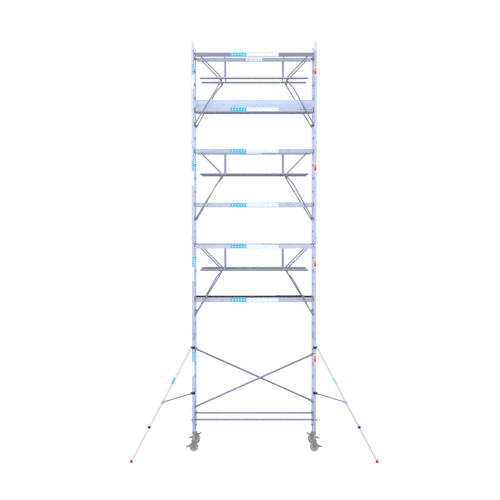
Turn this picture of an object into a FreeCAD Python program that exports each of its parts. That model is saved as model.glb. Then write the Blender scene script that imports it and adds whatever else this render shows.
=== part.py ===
import FreeCAD, Part
import Sketcher
import math
import os
import re

# Mobile aluminium scaffold tower, millimetres, +Z up.
# The origin lies on the floor under the centre of the whole footprint, stabilisers included.
# X runs along the bay, from the left end frames to the right ones. Y runs from the front to the back.
# Every piece is drawn once about its own working point and then placed as often as the tower needs it.

doc = FreeCAD.newDocument("scaffold_tower")
sheet = doc.addObject("Spreadsheet::Sheet", "Sizes")

SIZES = [
    ("bay_length", 2500, "between the stile centres of the two ends"),
    ("bay_width", 900, "between the front and back stile centres"),
    ("stile_r", 25.4, "stile tube, outside radius"),
    ("stile_wall", 2, "stile tube wall"),
    ("rung_r", 16, "rung tube, outside radius"),
    ("rung_wall", 2, "rung tube wall"),
    ("rung_pitch", 280, "from rung to rung"),
    ("first_rung", 200, "lowest rung above the lower end of its frame"),
    ("frame_base", 403, "lower end of the lowest frames above the floor"),
    ("bush_wall", 3.2, "guide bush wall, which sets the radius of spigot and levelling spindle"),
    ("spigot_wall", 3, "spigot tube wall"),
    ("spigot_nose", 150, "how far a spigot stands above its frame"),
    ("spigot_root", 120, "how far a spigot reaches down into its stile"),
    ("bush_length", 160, "guide bush in the lower end of a stile"),
    ("pin_height", 80, "locking pin above a stile joint"),
    ("pin_r", 4.5, "locking pin radius"),
    ("slip_fit", 0.1, "radial gap of a sliding or pressed tube"),
    ("hook_gap", 0.3, "gap between a hook and what it grips"),
    ("hook_wall", 10, "thickness of a hook's jaw"),
    ("jaw_past", 6, "how far a hook's jaw reaches past its rung"),
    ("hook_width", 28, "width of a hook across its jaw"),
    ("latch_height", 6, "thickness of the latch that closes a hook"),
    ("beam_reach", 45, "from a rung's centre to the end of the beam that hooks on it"),
    ("rail_inset", 55, "from the stile centres in to the plane of rails and braces"),
    ("rail_beam_high", 80, "guardrail beam height"),
    ("rail_beam_deep", 34, "guardrail beam depth"),
    ("rail_beam_wall", 2.5, "guardrail beam wall"),
    ("rail_beam_drop", 21, "guardrail beam centre below its rung centre"),
    ("mid_rail_drop", 477, "mid rail below the guardrail beam"),
    ("mid_rail_r", 22.5, "mid rail radius"),
    ("mid_rail_half", 1105, "half the mid rail's length"),
    ("upright_x", 600, "guardrail uprights from the middle"),
    ("upright_r", 15, "guardrail upright radius"),
    ("strut_r", 13, "upper diagonal and leg radius"),
    ("strut_top_x", 1090, "upper diagonal's top from the middle"),
    ("knee_x", 675, "knee plate from the middle"),
    ("knee_width", 44, "knee plate width"),
    ("knee_thick", 12, "knee plate thickness"),
    ("knee_drop", 63, "knee plate's lower edge below the mid rail"),
    ("bend_x", 797, "bend of the bent leg from the middle"),
    ("bend_drop", 189, "bend of the bent leg below the mid rail"),
    ("leg_end_drop", 28, "leg's end below the rung that it hooks on"),
    ("tube_wall", 2, "wall of rails, braces and legs"),
    ("brace_r", 22, "base brace radius"),
    ("brace_height", 47, "horizontal brace above the lowest rung"),
    ("diagonal_lift", 20, "diagonal brace's line above its rungs"),
    ("platform_width", 610, "over the platform's side beams"),
    ("side_beam_high", 97, "platform side beam height"),
    ("side_beam_deep", 30, "platform side beam depth"),
    ("side_beam_wall", 3, "platform side beam wall"),
    ("side_beam_rise", 42, "top of a side beam above its rung centre"),
    ("deck_thick", 12, "plywood thickness"),
    ("deck_sink", 4, "deck's face below the side beams' top"),
    ("deck_gap", 2, "gap round a deck panel"),
    ("cross_high", 40, "cross member height"),
    ("cross_wide", 30, "cross member width"),
    ("hatch_start", 460, "near edge of the hatch from the middle"),
    ("hatch_length", 600, "hatch length along the bay"),
    ("hatch_gap", 3, "gap round the hatch"),
    ("hinge_r", 6, "hatch hinge knuckle radius"),
    ("hinge_pin_r", 3, "hatch hinge pin radius"),
    ("hinge_gap", 0.08, "radial running gap of a hinge"),
    ("catch_length", 70, "hatch catch along the bay"),
    ("toe_high", 146, "toe board height"),
    ("toe_thick", 25, "toe board thickness"),
    ("wheel_r", 97.5, "castor wheel radius"),
    ("wheel_width", 50, "castor wheel width"),
    ("hub_r", 72, "wheel hub radius"),
    ("axle_r", 8, "wheel axle radius"),
    ("running_gap", 0.08, "radial gap of a shaft that turns"),
    ("trail", 9, "wheel centre inward of the swivel axis"),
    ("fork_gap", 4, "gap between wheel and fork"),
    ("fork_plate", 6, "fork plate thickness"),
    ("crown_gap", 11, "underside of the castor's crown above its wheel"),
    ("crown_high", 36, "height of the crown"),
    ("crown_r", 44, "crown radius"),
    ("spindle_wall", 5, "levelling spindle wall"),
    ("spindle_reach", 300, "how far the spindle goes up into the stile"),
    ("nut_r", 33, "spindle nut radius"),
    ("nut_high", 40, "spindle nut height"),
    ("handle_reach", 60, "nut handle's tip from the spindle axis"),
    ("pedal_out", 160, "outer pedal tip from the wheel centre"),
    ("pedal_out_height", 92, "outer pedal pad above the floor"),
    ("pedal_in", 121, "inner pedal pad from the wheel centre"),
    ("pedal_in_height", 212, "inner pedal pad above the floor"),
    ("stab_top_rise", 144, "upper clamp above the sixth rung"),
    ("clamp_high", 52, "stabiliser clamp height"),
    ("clamp_wall", 12, "stabiliser clamp wall"),
    ("clamp_arm", 62, "stabiliser pivot from the stile centre"),
    ("stab_run", 1585, "foot from the stile, level"),
    ("stab_turn", 47.5, "stabiliser's heading from straight out to the front, degrees"),
    ("stab_r", 22.5, "stabiliser outer tube radius"),
    ("stab_wall", 3, "stabiliser tube wall"),
    ("stab_share", 0.72, "share of the stabiliser's length that is outer tube"),
    ("leg_overlap", 450, "inner tube inside the outer tube"),
    ("stay_share", 0.49, "where the stay meets the outer tube, as a share of its drop"),
    ("collar_share", 0.018, "half of the stay's collar, as a share of the same drop"),
    ("stay_r", 16, "stabiliser stay radius"),
    ("foot_r", 32, "stabiliser foot radius"),
    ("foot_high", 56, "stabiliser foot height"),
]

for line, (alias, value, meaning) in enumerate(SIZES, 1):
    sheet.set("A%d" % line, alias)
    sheet.set("B%d" % line, str(value))
    sheet.set("C%d" % line, meaning)
    sheet.setAlias("B%d" % line, alias)
doc.recompute()

ALIASES = {alias for alias, value, meaning in SIZES}
DERIVED = {
    "spigot_r": "(stile_r - stile_wall - 2 * slip_fit - bush_wall)",
    "hook_drop": "(rung_r + jaw_past)",
    "crown_low": "(2 * wheel_r + crown_gap)",
}
RUNGS_PER_FRAME = 7
FRAMES_HIGH = 4
PLATFORM_RUNGS = (9, 16, 23)      # counted from the lowest rung of the tower, which is 0
RAIL_RUNGS_UP = 4                 # guardrail beam above its platform, in rungs
LEG_RUNGS_DOWN = 5                # guardrail leg's hook below its beam, in rungs
CLAMP_RUNGS = {"upper": 5, "lower": 2}
BRACE_RUNGS = {"low": 1, "high": 5}
X_AXIS = FreeCAD.Vector(1, 0, 0)
Y_AXIS = FreeCAD.Vector(0, 1, 0)
Z_AXIS = FreeCAD.Vector(0, 0, 1)


def size(alias):
    """Return one driving dimension as a number."""
    return float(sheet.get(alias))


def formula(text):
    """Return an expression in which each alias names its cell of the sheet."""
    def name_cell(word):
        return "Sizes." + word.group() if word.group() in ALIASES else word.group()

    def spell_out(word):
        return DERIVED.get(word.group(), word.group())
    return re.sub(r"[a-z_]+", name_cell, re.sub(r"[a-z_]+", spell_out, str(text)))


def bind(obj, **values):
    """Bind properties of an object to formulas over the sheet."""
    for name, text in values.items():
        obj.setExpression(name, formula(text))
    return obj


def put(obj, x=0, y=0, z=0, axis=None, angle=0):
    """Bind an object's place, and its turn about one axis."""
    if axis is not None:
        obj.Placement = FreeCAD.Placement(FreeCAD.Vector(), FreeCAD.Rotation(axis, 10))
        obj.setExpression("Placement.Rotation.Angle", formula(angle))
    for letter, text in zip("xyz", (x, y, z)):
        obj.setExpression("Placement.Base." + letter, formula(text))
    return obj


def box(x, y, z, length, width, height):
    """A box from its lowest corner."""
    obj = doc.addObject("Part::Box", "box")
    bind(obj, Length=length, Width=width, Height=height)
    return put(obj, x, y, z)


def rod(radius, height, x=0, y=0, z=0, axis=None, angle=0):
    """A solid cylinder that starts at a point."""
    obj = doc.addObject("Part::Cylinder", "rod")
    bind(obj, Radius=radius, Height=height)
    return put(obj, x, y, z, axis, angle)


def join(name, *pieces):
    """One solid from several that meet."""
    obj = doc.addObject("Part::MultiFuse", name)
    obj.Shapes = list(pieces)
    obj.Refine = True
    return obj


def cut(name, base, *tools):
    """Take solids away from a solid."""
    obj = doc.addObject("Part::Cut", name)
    obj.Base = base
    obj.Tool = tools[0] if len(tools) == 1 else group("tools", *tools)
    return obj


def group(name, *pieces):
    """Several separate solids that are handled as one."""
    obj = doc.addObject("Part::Compound", name)
    obj.Links = list(pieces)
    return obj


def copy_at(master, x=0, y=0, z=0, axis=None, angle=0):
    """A copy of a piece at another place."""
    return put(group("copy", master), x, y, z, axis, angle)


def tube(name, radius, wall, height, x=0, y=0, z=0, axis=None, angle=0):
    """A round tube that starts at a point."""
    outer = rod(radius, height)
    bore = rod("(%s) - (%s)" % (radius, wall), "%s + 2" % height, z=-1)
    return put(cut(name, outer, bore), x, y, z, axis, angle)


def slanted(name, radius, wall, x1, z1, x2, z2, y=0):
    """A tube from one point to another in an upright plane."""
    run = "(%s) - (%s)" % (x2, x1)
    rise = "(%s) - (%s)" % (z2, z1)
    turn = "atan2(%s; %s)" % (run, rise)
    return tube(name, radius, wall, "hypot(%s; %s)" % (run, rise), x1, y, z1, Y_AXIS, turn)


def lying(radius, length, x=0, y=0, z=0):
    """A solid cylinder along Y, centred on a point."""
    return rod(radius, length, x, "(%s) - (%s) / 2" % (y, length), z, X_AXIS, -90)


def along_bay(name, radius, wall, half, y=0, z=0):
    """A tube along X, centred over the middle of the bay."""
    return tube(name, radius, wall, "2 * (%s)" % half, "-(%s)" % half, y, z, Y_AXIS, 90)


nodes = []


def node(name, *pieces, x=0, y=0, z=0, turn=None):
    """One sub-part of the tower, set in its place and kept for writing."""
    obj = doc.addObject("Part::Compound", name)
    obj.Label = name
    obj.Links = list(pieces)
    if turn is None:
        put(obj, x, y, z)
    else:
        put(obj, x, y, z, Z_AXIS, turn)
    nodes.append(obj)
    return obj


def rung_height(number):
    """Height of a rung above the floor, counted from the lowest rung of the tower."""
    return "frame_base + first_rung + %d * rung_pitch" % number


# The footprint reaches from the stabiliser feet at the front to the castor crowns at the back.
FRONT_REACH = "(bay_width / 2 + stab_run * cos(stab_turn * 1deg) + foot_r)"
BACK_REACH = "(bay_width / 2 + crown_r)"
BAY_Y = "((%s - %s) / 2)" % (FRONT_REACH, BACK_REACH)
FRONT_Y = "(%s - bay_width / 2)" % BAY_Y
BACK_Y = "(%s + bay_width / 2)" % BAY_Y
RAIL_FRONT_Y = "(%s + rail_inset)" % FRONT_Y
RAIL_BACK_Y = "(%s - rail_inset)" % BACK_Y
END_X = "(bay_length / 2)"


# --- Ladder end frame: origin at the lower end, midway between its stiles ---

FRAME_HIGH = "(%d * rung_pitch)" % RUNGS_PER_FRAME


def make_frame():
    """Two stiles, seven rungs, a spigot at the top and a guide bush at the foot of each stile."""
    pieces = []
    for side in ("-", ""):
        y = side + "bay_width / 2"
        pin_low = rod("pin_r + slip_fit", "4 * stile_r", "-2 * stile_r", y, "pin_height", Y_AXIS, 90)
        pieces.append(cut("stile", tube("stile_tube", "stile_r", "stile_wall", FRAME_HIGH, 0, y), pin_low))
        bush = tube("bush_tube", "stile_r - stile_wall - slip_fit", "bush_wall", "bush_length", 0, y)
        pin_bush = rod("pin_r + slip_fit", "4 * stile_r", "-2 * stile_r", y, "pin_height", Y_AXIS, 90)
        pieces.append(cut("bush", bush, pin_bush))
        nose = rod("spigot_r", "spigot_nose + spigot_root", 0, y, FRAME_HIGH + " - spigot_root")
        root = rod("stile_r - stile_wall - slip_fit", "spigot_root", 0, y, FRAME_HIGH + " - spigot_root")
        bore = rod("spigot_r - spigot_wall", "spigot_nose + spigot_root + 2", 0, y,
                   FRAME_HIGH + " - spigot_root - 1")
        pin_top = rod("pin_r + slip_fit", "4 * stile_r", "-2 * stile_r", y, FRAME_HIGH + " + pin_height",
                      Y_AXIS, 90)
        pieces.append(cut("spigot", join("spigot_blank", nose, root), bore, pin_top))
    for number in range(RUNGS_PER_FRAME):
        z = "first_rung + %d * rung_pitch" % number
        blank = lying("rung_r", "bay_width", z=z)
        bore = lying("rung_r - rung_wall", "bay_width + 2", z=z)
        front = rod("stile_r", FRAME_HIGH, 0, "-bay_width / 2")
        back = rod("stile_r", FRAME_HIGH, 0, "bay_width / 2")
        pieces.append(cut("rung", blank, bore, front, back))
    return pieces


frame_pieces = make_frame()
for level in range(FRAMES_HIGH):
    z = "frame_base + %d * %s" % (level, FRAME_HIGH)
    node("frame_left_%d" % (level + 1), *frame_pieces, x="-" + END_X, y=BAY_Y, z=z)
    node("frame_right_%d" % (level + 1), *frame_pieces, x=END_X, y=BAY_Y, z=z, turn=180)

# --- Locking pins: one through each stile joint, its spring loop on the outside of the tower ---

PIN_LOOP_R = "(2.4 * pin_r)"


def make_pin():
    """A pin along X with a ring at its outer end, drawn for the left end frames."""
    shank = rod("pin_r", "2 * stile_r + 4 * pin_r", "-stile_r - 2 * pin_r", 0, 0, Y_AXIS, 90)
    ring = doc.addObject("Part::Torus", "loop")
    bind(ring, Radius1=PIN_LOOP_R, Radius2="pin_r / 2")
    put(ring, "-stile_r - 2 * pin_r", 0, "-" + PIN_LOOP_R, Y_AXIS, 90)
    return join("pin", shank, ring)


pin = make_pin()
pins = []
for joint in range(1, FRAMES_HIGH):
    z = "frame_base + %d * %s + pin_height" % (joint, FRAME_HIGH)
    for y in (FRONT_Y, BACK_Y):
        pins.append(copy_at(pin, "-" + END_X, y, z))
        pins.append(copy_at(pin, END_X, y, z, Z_AXIS, 180))
node("locking_pins", *pins)


# --- Hooks: an inverted U over a rung or a C round a stile, with a neck to the member that it holds ---


def rung_hook(neck_low, neck_high, reach="beam_reach", width="hook_width"):
    """A hook over a rung along Y, origin at the rung's centre, neck towards -X, and its latch."""
    inner = "(rung_r + hook_gap)"
    outer = "(rung_r + hook_gap + hook_wall)"
    half = "((%s) / 2)" % width
    body = join("hook_blank", lying(outer, width),
                box("-" + outer, "-" + half, "-hook_drop", "2 * " + outer, width, "hook_drop"),
                box("-" + reach, "-" + half, neck_low, reach, width, "(%s) - (%s)" % (neck_high, neck_low)))
    mouth = lying(inner, "2 * (%s)" % width)
    depth = "(20 * hook_drop)"
    slot = box("-" + inner, "-2 * " + half, "-" + depth, "2 * " + inner, "4 * " + half, depth)
    hook = cut("hook", body, mouth, slot)
    latch = box("hook_gap - " + inner, "-" + half, "-hook_drop - latch_height",
                "2 * %s + hook_wall / 2" % inner, width, "latch_height")
    return hook, latch


def both_ends(pieces, z=0, y=0):
    """The same pieces at the rungs of both ends, handed for each."""
    right = [copy_at(piece, END_X, y, z) for piece in pieces]
    left = [copy_at(piece, "-" + END_X, y, z, Z_AXIS, 180) for piece in pieces]
    return right + left


# --- Horizontal base brace: origin at the middle of the bay, stiles on the -Y side ---


def make_horizontal():
    """A tube with a C hook round the stile at each end."""
    inner = "(stile_r + hook_gap)"
    outer = "(stile_r + hook_gap + hook_wall)"
    high = "(2 * brace_r)"
    blank = join("hook_blank", rod(outer, high, z="-brace_r"),
                 box("-beam_reach", 0, "-brace_r", "beam_reach", "rail_inset + brace_r", high))
    mouth = rod(inner, "2 * " + high, z="-" + high)
    slot = box("-" + inner, "-2 * " + outer, "-" + high, "2 * " + inner, "2 * " + outer, "2 * " + high)
    hook = cut("stile_hook", blank, mouth, slot)
    bar = along_bay("brace_tube", "brace_r", "tube_wall", END_X + " - beam_reach", y="rail_inset")
    left = doc.addObject("Part::Mirroring", "left_hook")
    left.Source = hook
    left.Normal = X_AXIS
    return [bar, copy_at(hook, END_X), copy_at(left, "-" + END_X)]


horizontal = make_horizontal()
brace_z = rung_height(0) + " + brace_height"
node("horizontal_brace_front", *horizontal, y=FRONT_Y, z=brace_z)
node("horizontal_brace_back", *horizontal, y=BACK_Y, z=brace_z, turn=180)

# --- Diagonal base brace: origin at the middle of the bay and the height of its lower rung ---

BRACE_RISE = "(%d * rung_pitch)" % (BRACE_RUNGS["high"] - BRACE_RUNGS["low"])


def make_diagonal():
    """A tube from the left, lower rung to the right, upper one, with a hook over each rung."""
    neck_low = "diagonal_lift - brace_r"
    neck_high = "diagonal_lift + brace_r + hook_wall"
    hook, latch = rung_hook(neck_low, neck_high)
    blank = slanted("diagonal_blank", "brace_r", "tube_wall", "-" + END_X, "diagonal_lift", END_X,
                    BRACE_RISE + " + diagonal_lift")
    space = "4 * brace_r"
    left_end = box("-%s - 2 * beam_reach" % END_X, "-2 * brace_r", "-" + space, "3 * beam_reach", space,
                   "2 * " + space)
    right_end = box("%s - beam_reach" % END_X, "-2 * brace_r", BRACE_RISE + " - " + space, "3 * beam_reach",
                    space, "2 * " + space)
    bar = cut("diagonal_tube", blank, left_end, right_end)
    left = [copy_at(piece, "-" + END_X, 0, 0, Z_AXIS, 180) for piece in (hook, latch)]
    right = [copy_at(piece, END_X, 0, BRACE_RISE) for piece in (hook, latch)]
    return [bar] + left + right


diagonal = make_diagonal()
diagonal_z = rung_height(BRACE_RUNGS["low"])
node("diagonal_brace_front", *diagonal, y=RAIL_FRONT_Y, z=diagonal_z)
node("diagonal_brace_back", *diagonal, y=RAIL_BACK_Y, z=diagonal_z, turn=180)

# --- Guardrail frame: origin at the middle of the bay and the height of its beam's rung ---

BEAM_LOW = "(-rail_beam_drop - rail_beam_high / 2)"
BEAM_HIGH = "(rail_beam_high / 2 - rail_beam_drop)"
MID_Z = "(-rail_beam_drop - mid_rail_drop)"
FOOT_Z = "(-%d * rung_pitch)" % LEG_RUNGS_DOWN


def bent_leg(foot_x, foot_z, knee_z):
    """The bent leg's tube: a short run off the knee plate, a rounded bend and a long run to the foot."""
    start = FreeCAD.Vector(size("knee_x"), 0, knee_z)
    corner_z = -size("rail_beam_drop") - size("mid_rail_drop") - size("bend_drop")
    corner = FreeCAD.Vector(size("bend_x"), 0, corner_z)
    end = FreeCAD.Vector(foot_x, 0, foot_z)
    back = (start - corner).normalize()
    ahead = (end - corner).normalize()
    trim = 0.35 * (start - corner).Length
    first = corner + back * trim
    last = corner + ahead * trim
    half_turn = back.getAngle(ahead) / 2
    centre = corner + (back + ahead).normalize() * (trim / math.cos(half_turn))
    middle = centre + (corner - centre).normalize() * (trim * math.tan(half_turn))
    path = Part.Wire([Part.LineSegment(start, first).toShape(), Part.Arc(first, middle, last).toShape(),
                      Part.LineSegment(last, end).toShape()])
    skins = []
    for radius in (size("strut_r"), size("strut_r") - size("tube_wall")):
        ring = Part.Wire([Part.Circle(start, first - start, radius).toShape()])
        skins.append(path.makePipeShell([ring], True, True))
    leg = doc.addObject("Part::Feature", "bent_leg")
    leg.Shape = skins[0].cut(skins[1])
    return leg


def make_guardrail():
    """Beam, mid rail, uprights, upper diagonals, knee plates, a straight and a bent leg, and the hooks."""
    half = "(%s - beam_reach)" % END_X
    deep = "rail_beam_deep"
    beam_blank = box("-" + half, "-%s / 2" % deep, BEAM_LOW, "2 * " + half, deep, "rail_beam_high")
    beam_bore = box("-%s - 1" % half, "-%s / 2 + rail_beam_wall" % deep, BEAM_LOW + " + rail_beam_wall",
                    "2 * %s + 2" % half, deep + " - 2 * rail_beam_wall",
                    "rail_beam_high - 2 * rail_beam_wall")
    mid_blank = rod("mid_rail_r", "2 * mid_rail_half", "-mid_rail_half", 0, MID_Z, Y_AXIS, 90)
    pieces = [cut("beam", beam_blank, beam_bore),
              along_bay("mid_rail", "mid_rail_r", "tube_wall", "mid_rail_half", z=MID_Z)]
    beam_hook = rung_hook(BEAM_LOW + " / 2", BEAM_HIGH)
    pieces += both_ends(beam_hook)
    foot_hook = rung_hook("-leg_end_drop - 2 * strut_r", "-leg_end_drop + 3 * strut_r")
    pieces += both_ends(foot_hook, FOOT_Z)
    knee_z = MID_Z + " - knee_drop"
    for side, sign in (("left", "-"), ("right", "")):
        upright = tube("upright_blank", "upright_r", "tube_wall", "mid_rail_drop - rail_beam_high / 2",
                       sign + "upright_x", 0, MID_Z)
        pieces.append(cut("upright", upright, mid_blank))
        knee_left = "%sknee_x - knee_width / 2" % sign
        knee = box(knee_left, "-knee_thick / 2", knee_z, "knee_width", "knee_thick", "knee_drop")
        pieces.append(cut("knee_plate", knee, mid_blank))
        top = slanted("strut_blank", "strut_r", "tube_wall", sign + "strut_top_x",
                      BEAM_LOW + " + strut_r", sign + "(knee_x - strut_r)", MID_Z)
        pieces.append(cut("upper_diagonal", top, beam_blank, mid_blank))
    foot_x = "(%s - beam_reach + strut_r)" % END_X
    foot_z = "(%s - leg_end_drop)" % FOOT_Z
    leg = slanted("leg_blank", "strut_r", "tube_wall", "-knee_x", knee_z, "-" + foot_x, foot_z)
    left_block = box("-%s" % END_X, "-hook_width", FOOT_Z + " - 4 * strut_r - leg_end_drop", "beam_reach",
                     "2 * hook_width", "8 * strut_r + 2 * leg_end_drop")
    left_knee = box("-knee_x - knee_width / 2", "-knee_thick / 2", knee_z, "knee_width", "knee_thick",
                    "knee_drop")
    pieces.append(cut("straight_leg", leg, left_block, left_knee))
    number_x = size("bay_length") / 2 - size("beam_reach") + size("strut_r")
    number_z = -LEG_RUNGS_DOWN * size("rung_pitch") - size("leg_end_drop")
    knee_number = -size("rail_beam_drop") - size("mid_rail_drop") - size("knee_drop")
    right_block = box(END_X + " - beam_reach", "-hook_width", FOOT_Z + " - 4 * strut_r - leg_end_drop",
                      "beam_reach", "2 * hook_width", "8 * strut_r + 2 * leg_end_drop")
    right_knee = box("knee_x - knee_width / 2", "-knee_thick / 2", knee_z, "knee_width", "knee_thick",
                     "knee_drop")
    pieces.append(cut("curved_leg", bent_leg(number_x, number_z, knee_number), right_block, right_knee))
    return pieces


guardrail = make_guardrail()
for level, platform_rung in enumerate(PLATFORM_RUNGS, 1):
    z = rung_height(platform_rung + RAIL_RUNGS_UP)
    node("guardrail_front_%d" % level, *guardrail, y=RAIL_FRONT_Y, z=z)
    node("guardrail_back_%d" % level, *guardrail, y=RAIL_BACK_Y, z=z, turn=180)

# --- Platform: origin at the middle of the bay and the height of its rungs ---

BEAM_HALF = "(%s - beam_reach)" % END_X
SIDE_LOW = "(side_beam_rise - side_beam_high)"
DECK_HIGH = "(side_beam_rise - deck_sink)"
DECK_LOW = "(%s - deck_thick)" % DECK_HIGH
INSIDE = "(platform_width / 2 - side_beam_deep)"
HATCH_END = "(hatch_start + hatch_length)"
HINGE_Y = "(%s - hinge_r - hatch_gap)" % INSIDE
HINGE_Z = "(%s + hinge_r)" % DECK_HIGH
HINGE_BORE_R = "(hinge_pin_r + hinge_gap)"
# A toe board leaves this much of a side beam's top free, from the middle of the platform.
FREE_RIM = "(platform_width / 2 - toe_thick - hook_gap)"


def side_beam():
    """A hollow side beam, extruded from its sketched section along the bay."""
    body = doc.addObject("PartDesign::Body", "side_beam_body")
    sketch = body.newObject("Sketcher::SketchObject", "side_beam_section")
    plane = [item for item in body.Origin.OriginFeatures if item.Role == "YZ_Plane"][0]
    sketch.AttachmentSupport = (plane, [""])
    sketch.MapMode = "FlatFace"
    corners = [FreeCAD.Vector(x, y, 0) for x, y in ((-10, -10), (10, -10), (10, 10), (-10, 10))]
    for inset in ("0", "side_beam_wall"):
        first = sketch.GeometryCount
        for index in range(4):
            sketch.addGeometry(Part.LineSegment(corners[index], corners[(index + 1) % 4]), False)
        for index in range(4):
            after = first + (index + 1) % 4
            sketch.addConstraint(Sketcher.Constraint("Coincident", first + index, 2, after, 1))
        for index, kind in enumerate(("Horizontal", "Vertical", "Horizontal", "Vertical")):
            sketch.addConstraint(Sketcher.Constraint(kind, first + index))
        sketch.addConstraint(Sketcher.Constraint("Symmetric", first, 1, first + 1, 2, -1, 1))
        wide = sketch.addConstraint(Sketcher.Constraint("DistanceX", first, 1, first, 2, 20))
        high = sketch.addConstraint(Sketcher.Constraint("DistanceY", first + 1, 1, first + 1, 2, 20))
        sketch.setExpression("Constraints[%d]" % wide, formula("side_beam_deep - 2 * " + inset))
        sketch.setExpression("Constraints[%d]" % high, formula("side_beam_high - 2 * " + inset))
    pad = body.newObject("PartDesign::Pad", "side_beam_pad")
    pad.Profile = sketch
    pad.Midplane = True
    pad.setExpression("Length", formula("2 * " + BEAM_HALF))
    return body


def make_platform():
    """Side beams, end beams, cross members, the hatch's hinge pin and knuckles, and four hooks."""
    beam = side_beam()
    mid_height = SIDE_LOW + " + side_beam_high / 2"
    side_y = "(platform_width / 2 - side_beam_deep / 2)"
    pieces = [copy_at(beam, 0, "-" + side_y, mid_height), copy_at(beam, 0, side_y, mid_height)]
    members = ["-" + BEAM_HALF, "-%s * 2 / 3" % BEAM_HALF, "-%s / 3" % BEAM_HALF, "0",
               "hatch_start - cross_wide / 2", "%s - cross_wide / 2" % HATCH_END,
               BEAM_HALF + " - cross_wide"]
    for x in members:
        pieces.append(box(x, "-" + INSIDE, DECK_LOW + " - cross_high", "cross_wide", "2 * " + INSIDE,
                          "cross_high"))
    hook, latch = rung_hook(SIDE_LOW + " / 2", "side_beam_rise")
    for y in ("-" + side_y, side_y):
        pieces += both_ends((hook, latch), y=y)
    knuckle = "(hatch_length / 6)"
    pin = rod("hinge_pin_r", "hatch_length", "hatch_start", HINGE_Y, HINGE_Z, Y_AXIS, 90)
    pieces.append(pin)
    leaf_wide = FREE_RIM + " - " + HINGE_Y
    for x in ("hatch_start", HATCH_END + " - " + knuckle):
        ring = rod("hinge_r", knuckle, x, HINGE_Y, HINGE_Z, Y_AXIS, 90)
        leaf = box(x, HINGE_Y, "side_beam_rise", knuckle, leaf_wide, "hinge_r / 3")
        bore = rod(HINGE_BORE_R, knuckle + " + 2", x + " - 1", HINGE_Y, HINGE_Z, Y_AXIS, 90)
        pieces.append(cut("fixed_leaf", join("leaf_blank", ring, leaf), bore))
    return pieces


def make_deck():
    """Two plywood panels, one each side of the hatch."""
    width = "2 * (%s - deck_gap)" % INSIDE
    low_y = "-(%s - deck_gap)" % INSIDE
    long_panel = box("-" + BEAM_HALF, low_y, DECK_LOW, BEAM_HALF + " + hatch_start - hatch_gap", width,
                     "deck_thick")
    end_panel = box(HATCH_END + " + hatch_gap", low_y, DECK_LOW, BEAM_HALF + " - %s - hatch_gap" % HATCH_END,
                    width, "deck_thick")
    return [long_panel, end_panel]


def make_hatch():
    """The hatch panel, its catch on the free edge, and the knuckle that turns on the hinge pin."""
    low_y = "(%s - hatch_gap)" % INSIDE
    panel = box("hatch_start", "-" + low_y, DECK_LOW + " + hook_gap", "hatch_length",
                "%s + %s - hatch_gap" % (low_y, HINGE_Y), "deck_thick - hook_gap")
    catch_x = "(hatch_start + hatch_length / 2 - catch_length / 2)"
    block = box(catch_x, "-" + low_y, DECK_HIGH, "catch_length", "3 * deck_sink", "2 * deck_sink")
    lip = box(catch_x, "-" + FREE_RIM, "side_beam_rise + hook_gap", "catch_length",
              FREE_RIM + " - " + low_y + " + deck_sink", "deck_sink - hook_gap")
    knuckle_x = "(hatch_start + hatch_length / 6 + hatch_gap)"
    knuckle = "(hatch_length * 2 / 3 - 2 * hatch_gap)"
    ring = rod("hinge_r", knuckle, knuckle_x, HINGE_Y, HINGE_Z, Y_AXIS, 90)
    leaf = box(knuckle_x, HINGE_Y + " - 6 * hinge_r", DECK_HIGH, knuckle, "6 * hinge_r", "hinge_r / 3")
    bore = rod(HINGE_BORE_R, knuckle + " + 2", knuckle_x + " - 1", HINGE_Y, HINGE_Z, Y_AXIS, 90)
    return [panel, join("catch", block, lip), cut("hatch_leaf", join("leaf_blank", ring, leaf), bore)]


platform_pieces = make_platform()
deck_pieces = make_deck()
hatch_pieces = make_hatch()
for level, platform_rung in enumerate(PLATFORM_RUNGS, 1):
    z = rung_height(platform_rung)
    node("platform_%d" % level, *platform_pieces, y=BAY_Y, z=z)
    node("deck_%d" % level, *deck_pieces, y=BAY_Y, z=z)
    node("hatch_%d" % level, *hatch_pieces, y=BAY_Y, z=z)

# --- Toe boards: round the highest platform, standing on its side beams ---

top_z = rung_height(PLATFORM_RUNGS[-1])
board_y = "(platform_width / 2)"
long_boards = [box("-" + BEAM_HALF, y, "side_beam_rise", "2 * " + BEAM_HALF, "toe_thick", "toe_high")
               for y in ("-" + board_y, board_y + " - toe_thick")]
end_boards = [box(x, "-(%s - toe_thick)" % board_y, "side_beam_rise", "toe_thick",
                  "2 * (%s - toe_thick)" % board_y, "toe_high")
              for x in ("-" + BEAM_HALF, BEAM_HALF + " - toe_thick")]
node("toe_boards_long", *long_boards, y=BAY_Y, z=top_z)
node("toe_boards_end", *end_boards, y=BAY_Y, z=top_z)

# --- Castor: origin on the floor under the stile's centre, drawn for the left end ---

WHEEL_X = "trail"
JOURNAL_R = "(crown_r / 3)"
CROWN_TOP = "(crown_low + crown_high)"
PLATE_Y = "(wheel_width / 2 + fork_gap)"
PIVOT_Z = "(pedal_out_height + (pedal_in_height - pedal_out_height) * pedal_out / (pedal_out + pedal_in))"


def make_spindle():
    """The levelling spindle, with the plug and journal on which the crown swivels."""
    spindle = tube("spindle_tube", "spigot_r", "spindle_wall", "frame_base + spindle_reach - " + CROWN_TOP,
                   z=CROWN_TOP)
    plug = rod("spigot_r - spindle_wall / 2", "crown_high / 2", z=CROWN_TOP)
    journal = rod(JOURNAL_R, "crown_high", z="crown_low")
    return [join("spindle", spindle, plug, journal)]


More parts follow.
